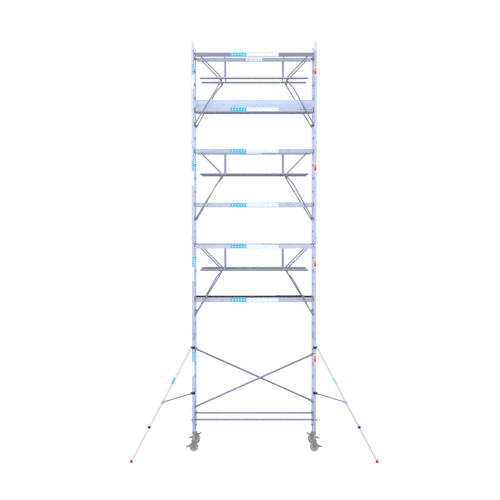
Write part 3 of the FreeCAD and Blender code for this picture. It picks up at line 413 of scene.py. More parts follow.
class Maker:
    """Collects the closed shells of one piece."""

    def __init__(self):
        self.bm = bmesh.new()

    def rings(self, rings, closed):
        """Join rings of points, each a list or a single pole, into a shell."""
        made = [[self.bm.verts.new(point) for point in ring] for ring in rings]
        pairs = list(zip(made, made[1:]))
        if closed:
            pairs.append((made[-1], made[0]))
        for low, high in pairs:
            count = max(len(low), len(high))
            if count == 1:
                continue
            for index in range(count):
                after = (index + 1) % count
                corners = [low[index % len(low)], low[after % len(low)],
                           high[after % len(high)], high[index % len(high)]]
                unique = [v for place, v in enumerate(corners) if v not in corners[:place]]
                self.bm.faces.new(unique)

    def lathe(self, start, along, profile, sides=24, closed=False, turn=0.0):
        """Turn a profile of (distance, radius) pairs round an axis."""
        along = Vector(along).normalized()
        side = along.orthogonal().normalized()
        other = along.cross(side)
        rings = []
        for distance, radius in profile:
            centre = Vector(start) + along * distance
            if radius <= 0:
                rings.append([centre])
                continue
            angles = [turn + 2 * math.pi * index / sides for index in range(sides)]
            rings.append([centre + radius * (side * math.cos(a) + other * math.sin(a)) for a in angles])
        self.rings(rings, closed)
        return self

    def tube(self, start, end, radius, wall, sides=24, lip=0.0008):
        """An open tube between two points, its rims eased."""
        start, end = Vector(start), Vector(end)
        run = (end - start).length
        profile = [(0, radius - lip), (lip, radius), (run - lip, radius), (run, radius - lip),
                   (run, radius - wall), (0, radius - wall)]
        return self.lathe(start, end - start, profile, sides, closed=True)

    def rod(self, start, end, radius, sides=24, lip=0.0008, turn=0.0):
        """A solid bar between two points, its rims eased."""
        start, end = Vector(start), Vector(end)
        run = (end - start).length
        profile = [(0, 0), (0, radius - lip), (lip, radius), (run - lip, radius), (run, radius - lip),
                   (run, 0)]
        return self.lathe(start, end - start, profile, sides, turn=turn)

    def ball_end(self, centre, along, radius, sides=16, steps=4):
        """A half ball that closes a bar."""
        profile = [(radius * math.sin(math.pi / 2 * step / steps),
                    radius * math.cos(math.pi / 2 * step / steps)) for step in range(steps)]
        return self.lathe(centre, along, [(0, 0)] + profile + [(radius, 0)], sides)

    def loop(self, centre, axis, radius, thick, sides=28, around=8, ripple=0.0):
        """A closed ring of round section; ripple swells it in turn, as a weld does."""
        axis = Vector(axis).normalized()
        side = axis.orthogonal().normalized()
        other = axis.cross(side)
        rings = []
        for index in range(sides):
            angle = 2 * math.pi * index / sides
            out = side * math.cos(angle) + other * math.sin(angle)
            swell = thick * (1 + ripple * (index % 2))
            rings.append([Vector(centre) + out * (radius + swell * math.cos(a)) + axis * swell * math.sin(a)
                          for a in (2 * math.pi * step / around for step in range(around))])
        self.rings(rings, closed=True)
        return self

    def sweep(self, path, radius, sides=16, closed=False, wall=0.0):
        """A round bar or tube along a path of points."""
        points = [Vector(point) for point in path]
        count = len(points)
        ahead = []
        for index in range(count):
            before = points[index - 1] if index or closed else points[0]
            after = points[(index + 1) % count] if index < count - 1 or closed else points[-1]
            ahead.append((after - before).normalized())
        side = ahead[0].orthogonal().normalized()
        outer, inner = [], []
        for point, way in zip(points, ahead):
            side = (side - way * side.dot(way)).normalized()
            other = way.cross(side)
            angles = [2 * math.pi * index / sides for index in range(sides)]
            outer.append([point + radius * (side * math.cos(a) + other * math.sin(a)) for a in angles])
            inner.append([point + (radius - wall) * (side * math.cos(a) + other * math.sin(a))
                          for a in angles])
        if closed:
            self.rings(outer, closed=True)
        elif wall:
            self.rings(outer + inner[::-1], closed=True)
        else:
            self.rings([[points[0]]] + outer + [[points[-1]]], closed=False)
        return self

    def prism(self, outline, axis, low, high, place=(0, 0, 0), inner=None):
        """An outline drawn across an axis and drawn out along it; inner hollows it."""
        order = {"X": lambda u, v, w: (w, u, v), "Y": lambda u, v, w: (u, w, v),
                 "Z": lambda u, v, w: (u, v, w)}[axis]
        shift = Vector(place)
        ends = []
        for shape in (outline, inner or []):
            for along in (low, high):
                ends.append([Vector(order(u, v, along)) + shift for u, v in shape])
        if inner:
            self.rings([ends[0], ends[1], ends[3], ends[2]], closed=True)
            return self
        bottom = [self.bm.verts.new(point) for point in ends[0]]
        top = [self.bm.verts.new(point) for point in ends[1]]
        self.bm.faces.new(bottom[::-1])
        self.bm.faces.new(top)
        for index in range(len(bottom)):
            after = (index + 1) % len(bottom)
            self.bm.faces.new([bottom[index], bottom[after], top[after], top[index]])
        return self

    def block(self, low, high):
        """A box between two corners."""
        outline = [(low[0], low[1]), (high[0], low[1]), (high[0], high[1]), (low[0], high[1])]
        return self.prism(outline, "Z", low[2], high[2])

    def rivet(self, centre, out, radius=0.005, high=0.002):
        """A domed rivet head on a face."""
        profile = [(-0.001, 0), (-0.001, radius), (high * 0.35, radius), (high * 0.8, radius * 0.7),
                   (high, 0)]
        return self.lathe(centre, out, profile, 12)

    def hexagon(self, centre, out, radius=0.009, high=0.006):
        """A hexagon bolt head or nut with its washer."""
        self.lathe(centre, out, [(-0.001, 0), (-0.001, radius * 1.25), (0.0015, radius * 1.25),
                                 (0.0015, 0)], 16)
        profile = [(0.001, 0), (0.001, radius), (high * 0.8, radius), (high, radius * 0.85), (high, 0)]
        return self.lathe(centre, out, profile, 6)

    def mesh(self, name, x=0.0, y=0.0, z=0.0, turn=0.0, smooth=38):
        """Finish the mesh and set it in its place, turned about the upright axis."""
        bmesh.ops.recalc_face_normals(self.bm, faces=self.bm.faces[:])
        mesh = bpy.data.meshes.new(name)
        self.bm.to_mesh(mesh)
        self.bm.free()
        mesh.transform(Matrix.Translation((x, y, z)) @ Matrix.Rotation(math.radians(turn), 4, "Z"))
        mesh.polygons.foreach_set("use_smooth", [True] * len(mesh.polygons))
        mesh.set_sharp_from_angle(angle=math.radians(smooth))
        return mesh


def rounded(width, height, radius, groove=0.0, groove_at=0.0, groove_half=0.003):
    """Outline of a rounded rectangle about its centre, its upright sides grooved if asked."""
    points = []
    for corner, (sx, sy) in enumerate(((1, -1), (1, 1), (-1, 1), (-1, -1))):
        for step in range(4):
            angle = math.radians(-90 + 90 * corner + 30 * step)
            points.append((sx * (width / 2 - radius) + radius * math.cos(angle),
                           sy * (height / 2 - radius) + radius * math.sin(angle)))
        if groove_at and corner in (0, 2):
            side = 1 if corner == 0 else -1
            for centre in (-groove_at * side, groove_at * side):
                for shift, depth in ((-1.4, 0), (-1, 1), (1, 1), (1.4, 0)):
                    points.append((side * (width / 2 - groove * depth),
                                   centre + side * shift * groove_half))
    return points


def arc(radius, first, last, steps):
    """Points on a circle about the origin, angles in degrees."""
    angles = [math.radians(first + (last - first) * step / steps) for step in range(steps + 1)]
    return [(radius * math.cos(a), radius * math.sin(a)) for a in angles]


def show(name, mesh, body, material, bevel=0.0, stands_for=()):
    """Make a mesh a shown piece that rides on a body."""
    obj = bpy.data.objects.new(name, mesh)
    bpy.context.scene.collection.objects.link(obj)
    mesh.materials.clear()
    mesh.materials.append(finish_material(material))
    if bevel:
        soft = obj.modifiers.new("Eased edges", "BEVEL")
        soft.width = bevel
        soft.segments = 2
        soft.limit_method = "ANGLE"
        soft.angle_limit = math.radians(50)
        soft.harden_normals = False
    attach(obj, body)
    if stands_for:
        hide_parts(*stands_for)
    return obj


# --- Trees that repeat a shape ---


def new_tree(name, sockets):
    """A geometry tree with named inputs, and its group input node."""
    tree = bpy.data.node_groups.new(name, "GeometryNodeTree")
    tree.interface.new_socket("Geometry", in_out="OUTPUT", socket_type="NodeSocketGeometry")
    tree.interface.new_socket("Geometry", in_out="INPUT", socket_type="NodeSocketGeometry")
    for label, kind in sockets:
        tree.interface.new_socket(label, in_out="INPUT", socket_type="NodeSocket" + kind)
    return tree, add_node(tree, "NodeGroupInput").outputs


def end_tree(tree, given, geometry):
    """Realise what a tree made, give it its material, and put it out."""
    real = add_node(tree, "GeometryNodeRealizeInstances", {0: geometry})
    dressed = add_node(tree, "GeometryNodeSetMaterial", {
        "Geometry": real.outputs[0], "Material": given["Material"]})
    add_node(tree, "NodeGroupOutput", {0: dressed.outputs[0]})
    return tree


def rows_tree():
    """Copies of a shape in a row, and the row again in rows."""
    name = "Copies in rows"
    if name in bpy.data.node_groups:
        return bpy.data.node_groups[name]
    tree, given = new_tree(name, (("Count", "Int"), ("Step", "Vector"), ("Rows", "Int"),
                                  ("Row step", "Vector"), ("Material", "Material")))
    row = add_node(tree, "GeometryNodeMeshLine", {"Count": given["Count"], "Offset": given["Step"]})
    starts = add_node(tree, "GeometryNodeMeshLine", {"Count": given["Rows"], "Offset": given["Row step"]})
    grid = add_node(tree, "GeometryNodeInstanceOnPoints", {
        "Points": starts.outputs[0], "Instance": row.outputs[0]})
    points = add_node(tree, "GeometryNodeRealizeInstances", {0: grid.outputs[0]})
    copies = add_node(tree, "GeometryNodeInstanceOnPoints", {
        "Points": points.outputs[0], "Instance": given["Geometry"]})
    return end_tree(tree, given, copies.outputs[0])


def round_tree():
    """Copies of a shape turned evenly round an axis."""
    name = "Copies round an axis"
    if name in bpy.data.node_groups:
        return bpy.data.node_groups[name]
    tree, given = new_tree(name, (("Count", "Int"), ("Centre", "Vector"), ("Axis", "Vector"),
                                  ("Material", "Material")))
    back = add_node(tree, "ShaderNodeVectorMath", {0: given["Centre"], "Scale": -1.0}, operation="SCALE")
    centred = add_node(tree, "GeometryNodeTransform", {
        "Geometry": given["Geometry"], "Translation": back.outputs[0]})
    points = add_node(tree, "GeometryNodeMeshLine", {
        "Count": given["Count"], "Start Location": given["Centre"], "Offset": (0, 0, 0)})
    index = add_node(tree, "GeometryNodeInputIndex")
    share = add_node(tree, "ShaderNodeMath", {0: index.outputs[0], 1: given["Count"]}, operation="DIVIDE")
    angle = add_node(tree, "ShaderNodeMath", {0: share.outputs[0], 1: 2 * math.pi}, operation="MULTIPLY")
    turn = add_node(tree, "FunctionNodeAxisAngleToRotation", {
        "Axis": given["Axis"], "Angle": angle.outputs[0]})
    copies = add_node(tree, "GeometryNodeInstanceOnPoints", {
        "Points": points.outputs[0], "Instance": centred.outputs[0], "Rotation": turn.outputs[0]})
    return end_tree(tree, given, copies.outputs[0])


def thread_tree():
    """A helical ridge added to an upright core."""
    name = "Screw thread"
    if name in bpy.data.node_groups:
        return bpy.data.node_groups[name]
    tree, given = new_tree(name, (("Radius", "Float"), ("Pitch", "Float"), ("Height", "Float"),
                                  ("Ridge", "Float"), ("Foot", "Vector"), ("Material", "Material")))
    turns = add_node(tree, "ShaderNodeMath", {0: given["Height"], 1: given["Pitch"]}, operation="DIVIDE")
    helix = add_node(tree, "GeometryNodeCurveSpiral", {
        "Resolution": 20, "Rotations": turns.outputs[0], "Start Radius": given["Radius"],
        "End Radius": given["Radius"], "Height": given["Height"]})
    section = add_node(tree, "GeometryNodeCurvePrimitiveCircle", {"Resolution": 4, "Radius": given["Ridge"]})
    ridge = add_node(tree, "GeometryNodeCurveToMesh", {
        "Curve": helix.outputs[0], "Profile Curve": section.outputs[0], "Fill Caps": True})
    placed = add_node(tree, "GeometryNodeTransform", {
        "Geometry": ridge.outputs[0], "Translation": given["Foot"]})
    whole = add_node(tree, "GeometryNodeJoinGeometry")
    tree.links.new(given["Geometry"], whole.inputs[0])
    tree.links.new(placed.outputs[0], whole.inputs[0])
    return end_tree(tree, given, whole.outputs[0])


def grow(mesh, tree, **inputs):
    """Run a tree on a mesh and return the plain mesh that it makes."""
    obj = bpy.data.objects.new("Growing", mesh)
    bpy.context.scene.collection.objects.link(obj)
    modifier = obj.modifiers.new("Tree", "NODES")
    modifier.node_group = tree
    keys = {item.name.replace(" ", "_").lower(): item.identifier
            for item in tree.interface.items_tree if item.in_out == "INPUT"}
    for name, value in inputs.items():
        if name == "material":
            value = finish_material(value)
        modifier[keys[name]] = value
    bpy.context.view_layer.update()
    evaluated = obj.evaluated_get(bpy.context.evaluated_depsgraph_get())
    made = bpy.data.meshes.new_from_object(evaluated)
    bpy.data.objects.remove(obj)
    made.polygons.foreach_set("use_smooth", [True] * len(made.polygons))
    made.set_sharp_from_angle(angle=math.radians(38))
    return made


# --- Hooks, shared by braces, guardrails and platforms ---


def rung_hook(maker, fittings, x, z, hand, neck_low, neck_high, y=0.0):
    """A hook over a rung, its neck towards the middle of the bay, and its sprung latch."""
    s = sizes()
    inner = s.rung_radius + s.hook_gap
    outer = inner + s.hook_wall
    drop = s.rung_radius + s.jaw_past
    jaw = [(outer, -drop + 0.004), (outer - 0.003, -drop)]
    outline = ([(hand * u, v) for u, v in arc(outer, 180, 0, 14) + jaw + [(inner, -drop)]]
               + [(hand * u, v) for u, v in arc(inner, 0, 180, 12)]
               + [(-hand * inner, -drop), (-hand * (outer - 0.003), -drop), (-hand * outer, -drop + 0.004)])
    low, high = y - s.hook_width / 2, y + s.hook_width / 2
    maker.prism(outline, "Y", low, high, (x, 0, z))
    far = -hand * s.beam_reach
    near = -hand * (inner + s.hook_wall * 0.6)
    neck = [(far, neck_low), (near, neck_low), (near, neck_high), (far, neck_high)]
    maker.prism(neck, "Y", low, high, (x, 0, z))
    blade = [(hand * (0.0003 - inner), -drop - 0.005), (hand * (inner + 0.004), -drop - 0.005),
             (hand * (inner + 0.004), -drop - 0.001), (hand * (0.0003 - inner), -drop - 0.001)]
    fittings.prism(blade, "Y", low + 0.002, high - 0.002, (x, 0, z))
    for side, face in ((-1, low), (1, high)):
        fittings.rivet((x - hand * (outer + 0.007), face, z + (neck_low + neck_high) / 2), Y * side,
                       0.004, 0.0015)


def stile_hook(maker, x, hand, half_high):
    """A C hook round a stile, with its neck to the brace; the stile lies at y 0."""
    s = sizes()
    inner = STILE_R + s.hook_gap
    outer = inner + s.hook_wall
    tip = math.degrees(math.acos(inner / outer))
    outline = arc(outer, -tip + 6, 180 + tip - 6, 22) + arc(inner, 180, 0, 18)
    maker.prism(outline, "Z", -half_high, half_high, (x, 0, 0))
    inset = RAIL_FRONT_Y - FRONT_Y
    neck = [(-hand * s.beam_reach, inset - 0.022), (-hand * 0.014, inset - 0.027),
            (-hand * 0.014, inset + 0.018), (-hand * 0.02, inset + s.brace_radius),
            (-hand * s.beam_reach, inset + s.brace_radius)]
    maker.prism(neck, "Z", -half_high * 0.86, half_high * 0.86, (x, 0, 0))


# --- Pieces ---


class TOWER_OT_end_frames(bpy.types.Operator):
    """Stiles, spigots, fluted rungs and weld beads of the eight end frames"""

    bl_idname = "tower.end_frames"
    bl_label = "End frames"

    def execute(self, context):
        """Build every end frame."""
        s = sizes()
        for side, x in (("left", -END_X), ("right", END_X)):
            for level in FRAME_LEVELS:
                name = "frame_%s_%d" % (side, level)
                foot = BASE_Z + (level - 1) * FRAME_HIGH
                show(name + "_stiles", self.stiles(name, x, foot), "tower", "extruded_aluminium_stile",
                     stands_for=(name,))
                show(name + "_spigots", self.spigots(name, x, foot), "tower", "extruded_aluminium_stile")
                first = foot + s.first_rung
                rung, weld = self.rung(x, first)
                show(name + "_rungs", grow(rung, rows_tree(), count=RUNGS_PER_FRAME, rows=1,
                                           step=(0, 0, RUNG_PITCH), material="fluted_aluminium_rung"),
                     "tower", "fluted_aluminium_rung")
                show(name + "_welds", grow(weld, rows_tree(), count=RUNGS_PER_FRAME, rows=1,
                                           step=(0, 0, RUNG_PITCH), material="welded_aluminium"),
                     "tower", "welded_aluminium")
        return {"FINISHED"}

    def stiles(self, name, x, foot):
        """Two stile tubes, each with a crimped ring over its spigot, and a guide bush."""
        s = sizes()
        maker = Maker()
        crimp = FRAME_HIGH - 0.06
        for y in (FRONT_Y, BACK_Y):
            profile = [(0, STILE_R - 0.001), (0.001, STILE_R)]
            for ring in (crimp, crimp + 0.03):
                profile += [(ring - 0.003, STILE_R), (ring, STILE_R - 0.0012), (ring + 0.003, STILE_R)]
            profile += [(FRAME_HIGH - 0.001, STILE_R), (FRAME_HIGH, STILE_R - 0.001),
                        (FRAME_HIGH, STILE_R - s.stile_wall), (0, STILE_R - s.stile_wall)]
            maker.lathe((x, y, foot), Z, profile, 32, closed=True)
            maker.tube((x, y, foot + 0.0005), (x, y, foot + 0.16), STILE_R - s.stile_wall - 0.0001,
                       0.0032, 24)
        return maker.mesh(name)

    def spigots(self, name, x, foot):
        """The plug and the tapered nose at the top of each stile."""
        s = sizes()
        maker = Maker()
        r = s.spigot_radius
        for y in (FRONT_Y, BACK_Y):
            nose = [(0, r - 0.003), (0, STILE_R - 0.0021), (0.12, STILE_R - 0.0021), (0.12, r),
                    (s.spigot_nose + 0.105, r), (s.spigot_nose + 0.119, r - 0.0022),
                    (s.spigot_nose + 0.12, r - 0.003)]
            maker.lathe((x, y, foot + FRAME_HIGH - 0.12), Z, nose, 28, closed=True)
        return maker.mesh(name)

    def rung(self, x, z):
        """The lowest rung, coped to the stiles, and its two weld beads."""
        s = sizes()
        flutes = 16
        sides = flutes * 2
        body, bead = Maker(), Maker()
        rings = []
        angles = [2 * math.pi * index / sides for index in range(sides)]
        radii = [s.rung_radius - (s.flute_depth if index % 2 else 0) for index in range(sides)]
        for radii_now in (radii, [s.rung_radius - 0.002] * sides):
            ends = []
            for side in (1, -1):
                near = FRONT_Y if side == 1 else BACK_Y
                ring = []
                for angle, radius in zip(angles, radii_now):
                    across = radius * math.cos(angle)
                    reach = math.sqrt(STILE_R ** 2 - across ** 2) - 0.0004
                    ring.append(Vector((x + across, near + side * reach, z + radius * math.sin(angle))))
                ends.append(ring)
            rings.append(ends)
        body.rings([rings[0][0], rings[0][1], rings[1][1], rings[1][0]], closed=True)
        for side, near in ((1, FRONT_Y), (-1, BACK_Y)):
            path = []
            for step in range(24):
                angle = 2 * math.pi * step / 24
                across = (s.rung_radius + 0.0005) * math.cos(angle)
                reach = math.sqrt(STILE_R ** 2 - across ** 2) + 0.0005
                path.append((x + across, near + side * reach, z + (s.rung_radius + 0.0005) * math.sin(angle)))
            bead.sweep(path, s.weld_radius, 6, closed=True)
        return body.mesh("rung", smooth=20), bead.mesh("weld", smooth=60)


class TOWER_OT_locking_pins(bpy.types.Operator):
    """A pin with a ring through every stile joint"""

    bl_idname = "tower.locking_pins"
    bl_label = "Locking pins"

    def execute(self, context):
        """Build the pins of both ends."""
        s = sizes()
        first = BASE_Z + FRAME_HIGH + s.pin_height
        for side, hand in (("left", -1), ("right", 1)):
            maker = Maker()
            reach = STILE_R + 2 * s.pin_radius
            x = hand * END_X
            head = (x + hand * reach, FRONT_Y, first)
            maker.rod((x - hand * reach, FRONT_Y, first), head, s.pin_radius, 16, 0.0015)
            maker.rod((x + hand * (STILE_R + 0.0005), FRONT_Y, first),
                      (x + hand * (STILE_R + 0.003), FRONT_Y, first), s.pin_radius * 1.7, 16)
            ring = 2.4 * s.pin_radius
            maker.loop((x + hand * reach, FRONT_Y, first - ring), X, ring, s.pin_radius / 2, 24, 8)
            mesh = grow(maker.mesh("pin"), rows_tree(), count=len(FRAME_LEVELS) - 1, step=(0, 0, FRAME_HIGH),
                        rows=2, row_step=(0, BACK_Y - FRONT_Y, 0), material="zinc_plated_steel")
            show("locking_pins_" + side, mesh, "tower", "zinc_plated_steel",
                 stands_for=("locking_pins",))
        return {"FINISHED"}


class TOWER_OT_base_braces(bpy.types.Operator):
    """Two horizontal and two diagonal braces at the foot of the tower"""

    bl_idname = "tower.base_braces"
    bl_label = "Base braces"

    def execute(self, context):
        """Build the four braces."""
        for place, y, rail_y, turn in (("front", FRONT_Y, RAIL_FRONT_Y, 0),
                                       ("back", BACK_Y, RAIL_BACK_Y, 180)):
            self.horizontal(place, y, turn)
            self.diagonal(place, rail_y, turn)
        return {"FINISHED"}

    def horizontal(self, place, y, turn):
        """A tube with a C hook round the stile at each end."""
        s = sizes()
        node = "horizontal_brace_" + place
        z = middle(node).z
        inset = RAIL_FRONT_Y - FRONT_Y
        half = END_X - s.beam_reach
        tube, hooks, fittings, triggers = Maker(), Maker(), Maker(), Maker()
        tube.tube((-half, inset, 0), (half, inset, 0), s.brace_radius, 0.002, 28)
        for hand in (-1, 1):
            stile_hook(hooks, hand * END_X, hand, s.brace_radius)
            fittings.rod((hand * (half - 0.03), inset - s.brace_radius - 0.001, 0),
                         (hand * (half - 0.03), inset + s.brace_radius + 0.001, 0), 0.004, 12)
            self.trigger(triggers, hand * (END_X + STILE_R + s.hook_gap), 0, 0, hand)
            fittings.loop((hand * (half - 0.008), inset, 0), X, s.brace_radius - 0.001, 0.0035, 28, 6, 0.15)
        show(node + "_tube", tube.mesh(node, 0, y, z, turn), "tower", "drawn_aluminium_brace",
             stands_for=(node,))
        show(node + "_hooks", hooks.mesh(node, 0, y, z, turn), "tower", "zinc_plated_steel",
             bevel=0.0012)
        show(node + "_fittings", fittings.mesh(node, 0, y, z, turn), "tower", "welded_aluminium")
        show(node + "_triggers", triggers.mesh(node, 0, y, z, turn), "tower", "black_nylon")

    def trigger(self, triggers, x, y, z, hand):
        """The moulded release knob on the outer side of a hook."""
        wall = sizes().hook_wall
        triggers.lathe((x + hand * (wall - 0.002), y, z), X * hand,
                       [(0, 0), (0, 0.009), (0.005, 0.009), (0.009, 0.007), (0.013, 0.011), (0.018, 0.011),
                        (0.021, 0.008), (0.021, 0)], 16)

    def diagonal(self, place, y, turn):
        """A tube from the left, lower rung to the right, upper one."""
        s = sizes()
        node = "diagonal_brace_" + place
        z = rung_z(BRACE_LOW_RUNG)
        rise = (BRACE_HIGH_RUNG - BRACE_LOW_RUNG) * RUNG_PITCH
        lift = 0.02
        way = Vector((2 * END_X, 0, rise)).normalized()
        short = (s.beam_reach + 0.012) / way.x
        start = Vector((-END_X, 0, lift)) + way * short
        end = Vector((END_X, 0, rise + lift)) - way * short
        tube, hooks, fittings, triggers = Maker(), Maker(), Maker(), Maker()
        tube.tube(start, end, s.brace_radius, 0.002, 28)
        for hand, height, rim in ((-1, 0, start), (1, rise, end)):
            rung_hook(hooks, fittings, hand * END_X, height, hand, lift - s.brace_radius,
                      lift + s.brace_radius + s.hook_wall)
            fittings.loop(rim, way, s.brace_radius - 0.001, 0.0035, 28, 6, 0.15)
            self.trigger(triggers, hand * (END_X + s.rung_radius + s.hook_gap), 0, height, hand)
            inner = Vector((hand * (END_X - s.beam_reach - 0.022), 0, rim.z))
            hooks.prism(rounded(0.05, 0.05, 0.006), "Y", -0.006, 0.006, inner)
        show(node + "_tube", tube.mesh(node, 0, y, z, turn), "tower", "drawn_aluminium_brace",
             stands_for=(node,))
        show(node + "_hooks", hooks.mesh(node, 0, y, z, turn), "tower", "zinc_plated_steel",
             bevel=0.0012)
        show(node + "_fittings", fittings.mesh(node, 0, y, z, turn), "tower", "welded_aluminium")
        show(node + "_triggers", triggers.mesh(node, 0, y, z, turn), "tower", "black_nylon")


class TOWER_OT_guardrails(bpy.types.Operator):
    """Six guardrail frames: beam, mid rail, uprights, struts, knee plates and legs"""

    bl_idname = "tower.guardrails"
    bl_label = "Guardrails"

    def execute(self, context):
        """Build the guardrails, front and back."""
        for level in LEVELS:
            z = rung_z(PLATFORM_RUNGS[level - 1] + RAIL_RUNGS_UP)
            # Each level's beam takes its own tone of the same aluminium, as painted light and shade by
            # height; the back beams take a darker tone as painted shade.
            beam = "extruded_aluminium_beam_%d" % level
            self.guardrail("guardrail_front_%d" % level, RAIL_FRONT_Y, z, 0, beam)
            self.guardrail("guardrail_back_%d" % level, RAIL_BACK_Y, z, 180, "extruded_aluminium_back_beam")
        return {"FINISHED"}

    def guardrail(self, node, y, z, turn, beam_painted_light_material):
        """One guardrail frame."""
        s = sizes()
        half = END_X - s.beam_reach
        beam, rail, tubes, hooks, fittings, plugs, welds = (Maker() for piece in range(7))
        outer = rounded(s.beam_deep, s.beam_high, 0.004, 0.001, 0.036)
        inner = rounded(s.beam_deep - 0.005, s.beam_high - 0.005, 0.002, 0.0, 0.034)
        low_beam = -s.beam_drop - s.beam_high / 2
        high_beam = s.beam_high / 2 - s.beam_drop
        beam.prism(outer, "X", -half, half, (0, 0, -s.beam_drop), inner)
        mid_z = -s.beam_drop - s.mid_rail_drop
        knee_z = mid_z - 0.063
        rail.tube((-s.mid_rail_half, 0, mid_z), (s.mid_rail_half, 0, mid_z), s.mid_rail_radius, 0.002, 28)
        foot_z = -LEG_RUNGS_DOWN * RUNG_PITCH
        for hand in (-1, 1):
            rung_hook(hooks, fittings, hand * END_X, 0, hand, low_beam / 2, high_beam)
            rung_hook(hooks, fittings, hand * END_X, foot_z, hand, -0.054, 0.011)
            plugs.prism(rounded(s.beam_deep - 0.0052, s.beam_high - 0.0052, 0.002), "X",
                        min(hand * (half - 0.02), hand * (half - 0.001)),
                        max(hand * (half - 0.02), hand * (half - 0.001)), (0, 0, -s.beam_drop))
            tip = hand * s.mid_rail_half
            plugs.lathe((tip - hand * 0.02, 0, mid_z), X * hand,
                        [(0, 0), (0, 0.0203), (0.0185, 0.0203), (0.0185, 0.0222), (0.02, 0.0215),
                         (0.02, 0)], 24)
            upright = 0.6 * hand
            tubes.tube((upright, 0, mid_z + s.mid_rail_radius - 0.002), (upright, 0, low_beam + 0.0005),
                       s.upright_radius, 0.002, 20)
            welds.loop((upright, 0, low_beam - 0.0005), Z, s.upright_radius, 0.003, 24, 6, 0.2)
            welds.loop((upright, 0, mid_z + s.mid_rail_radius - 0.002), Z, s.upright_radius, 0.003, 24, 6,
                       0.2)
            top = Vector((hand * 1.09, 0, low_beam + 0.004))
            knee = Vector((hand * (0.675 - s.strut_radius), 0, mid_z + 0.006))
            tubes.tube(knee, top, s.strut_radius, 0.002, 20)
            welds.loop(top - (top - knee).normalized() * 0.012, top - knee, s.strut_radius, 0.003, 24, 6, 0.2)
            welds.loop(knee + (top - knee).normalized() * 0.018, top - knee, s.strut_radius, 0.003, 24, 6,
                       0.2)
            self.knee_plate(hooks, fittings, hand, mid_z, knee_z)
        foot = Vector((END_X - s.beam_reach + 0.004, 0, foot_z - 0.028))
        knee = Vector((0.675, 0, knee_z + 0.004))
        left_foot, left_knee = Vector((-foot.x, 0, foot.z)), Vector((-knee.x, 0, knee.z))
        tubes.tube(left_knee, left_foot, s.strut_radius, 0.002, 20)
        tubes.sweep(self.bent_path(knee, foot, mid_z), s.strut_radius, 20, wall=0.002)
        for near, far in ((left_foot, left_knee), (foot, Vector((0.797, 0, mid_z - 0.189)))):
            way = (far - near).normalized()
            welds.loop(near + way * 0.004, way, s.strut_radius, 0.003, 24, 6, 0.2)
        place = (0, y, z, turn)
        show(node + "_beam", beam.mesh(node, *place), "tower", beam_painted_light_material,
             stands_for=(node,))
        show(node + "_mid_rail", rail.mesh(node, *place), "tower", "drawn_aluminium_mid_rail")
        show(node + "_tubes", tubes.mesh(node, *place), "tower", "drawn_aluminium_tube")
        show(node + "_hooks", hooks.mesh(node, *place), "tower", "zinc_plated_steel",
             bevel=0.0012)
        show(node + "_rivets", fittings.mesh(node, *place), "tower", "zinc_plated_steel")
        show(node + "_plugs", plugs.mesh(node, *place), "tower", "black_nylon")
        show(node + "_welds", welds.mesh(node, *place, smooth=60), "tower", "welded_aluminium")

    def knee_plate(self, hooks, fittings, hand, mid_z, knee_z):
        """The pressed plate under the mid rail that carries a leg, with its bolt."""
        x = hand * 0.675
        top = mid_z - 0.018
        outline = [(x - 0.022, knee_z + 0.008), (x - 0.014, knee_z), (x + 0.014, knee_z),
                   (x + 0.022, knee_z + 0.008), (x + 0.022, top), (x - 0.022, top)]
        hooks.prism(outline, "Y", -0.006, 0.006)
        for side in (-1, 1):
            fittings.hexagon((x, side * 0.006, knee_z + 0.02), Y * side, 0.007, 0.0045)

    def bent_path(self, knee, foot, mid_z):
        """The bent leg's centre line: a short run, a rounded bend and a long run."""
        corner = Vector((0.797, 0, mid_z - 0.189))
        back, ahead = (knee - corner).normalized(), (foot - corner).normalized()
        trim = 0.35 * (knee - corner).length
        first, last = corner + back * trim, corner + ahead * trim
        path = [knee]
        for step in range(9):
            share = step / 8
            path.append(first * (1 - share) ** 2 + corner * 2 * share * (1 - share) + last * share ** 2)
        return path + [foot]


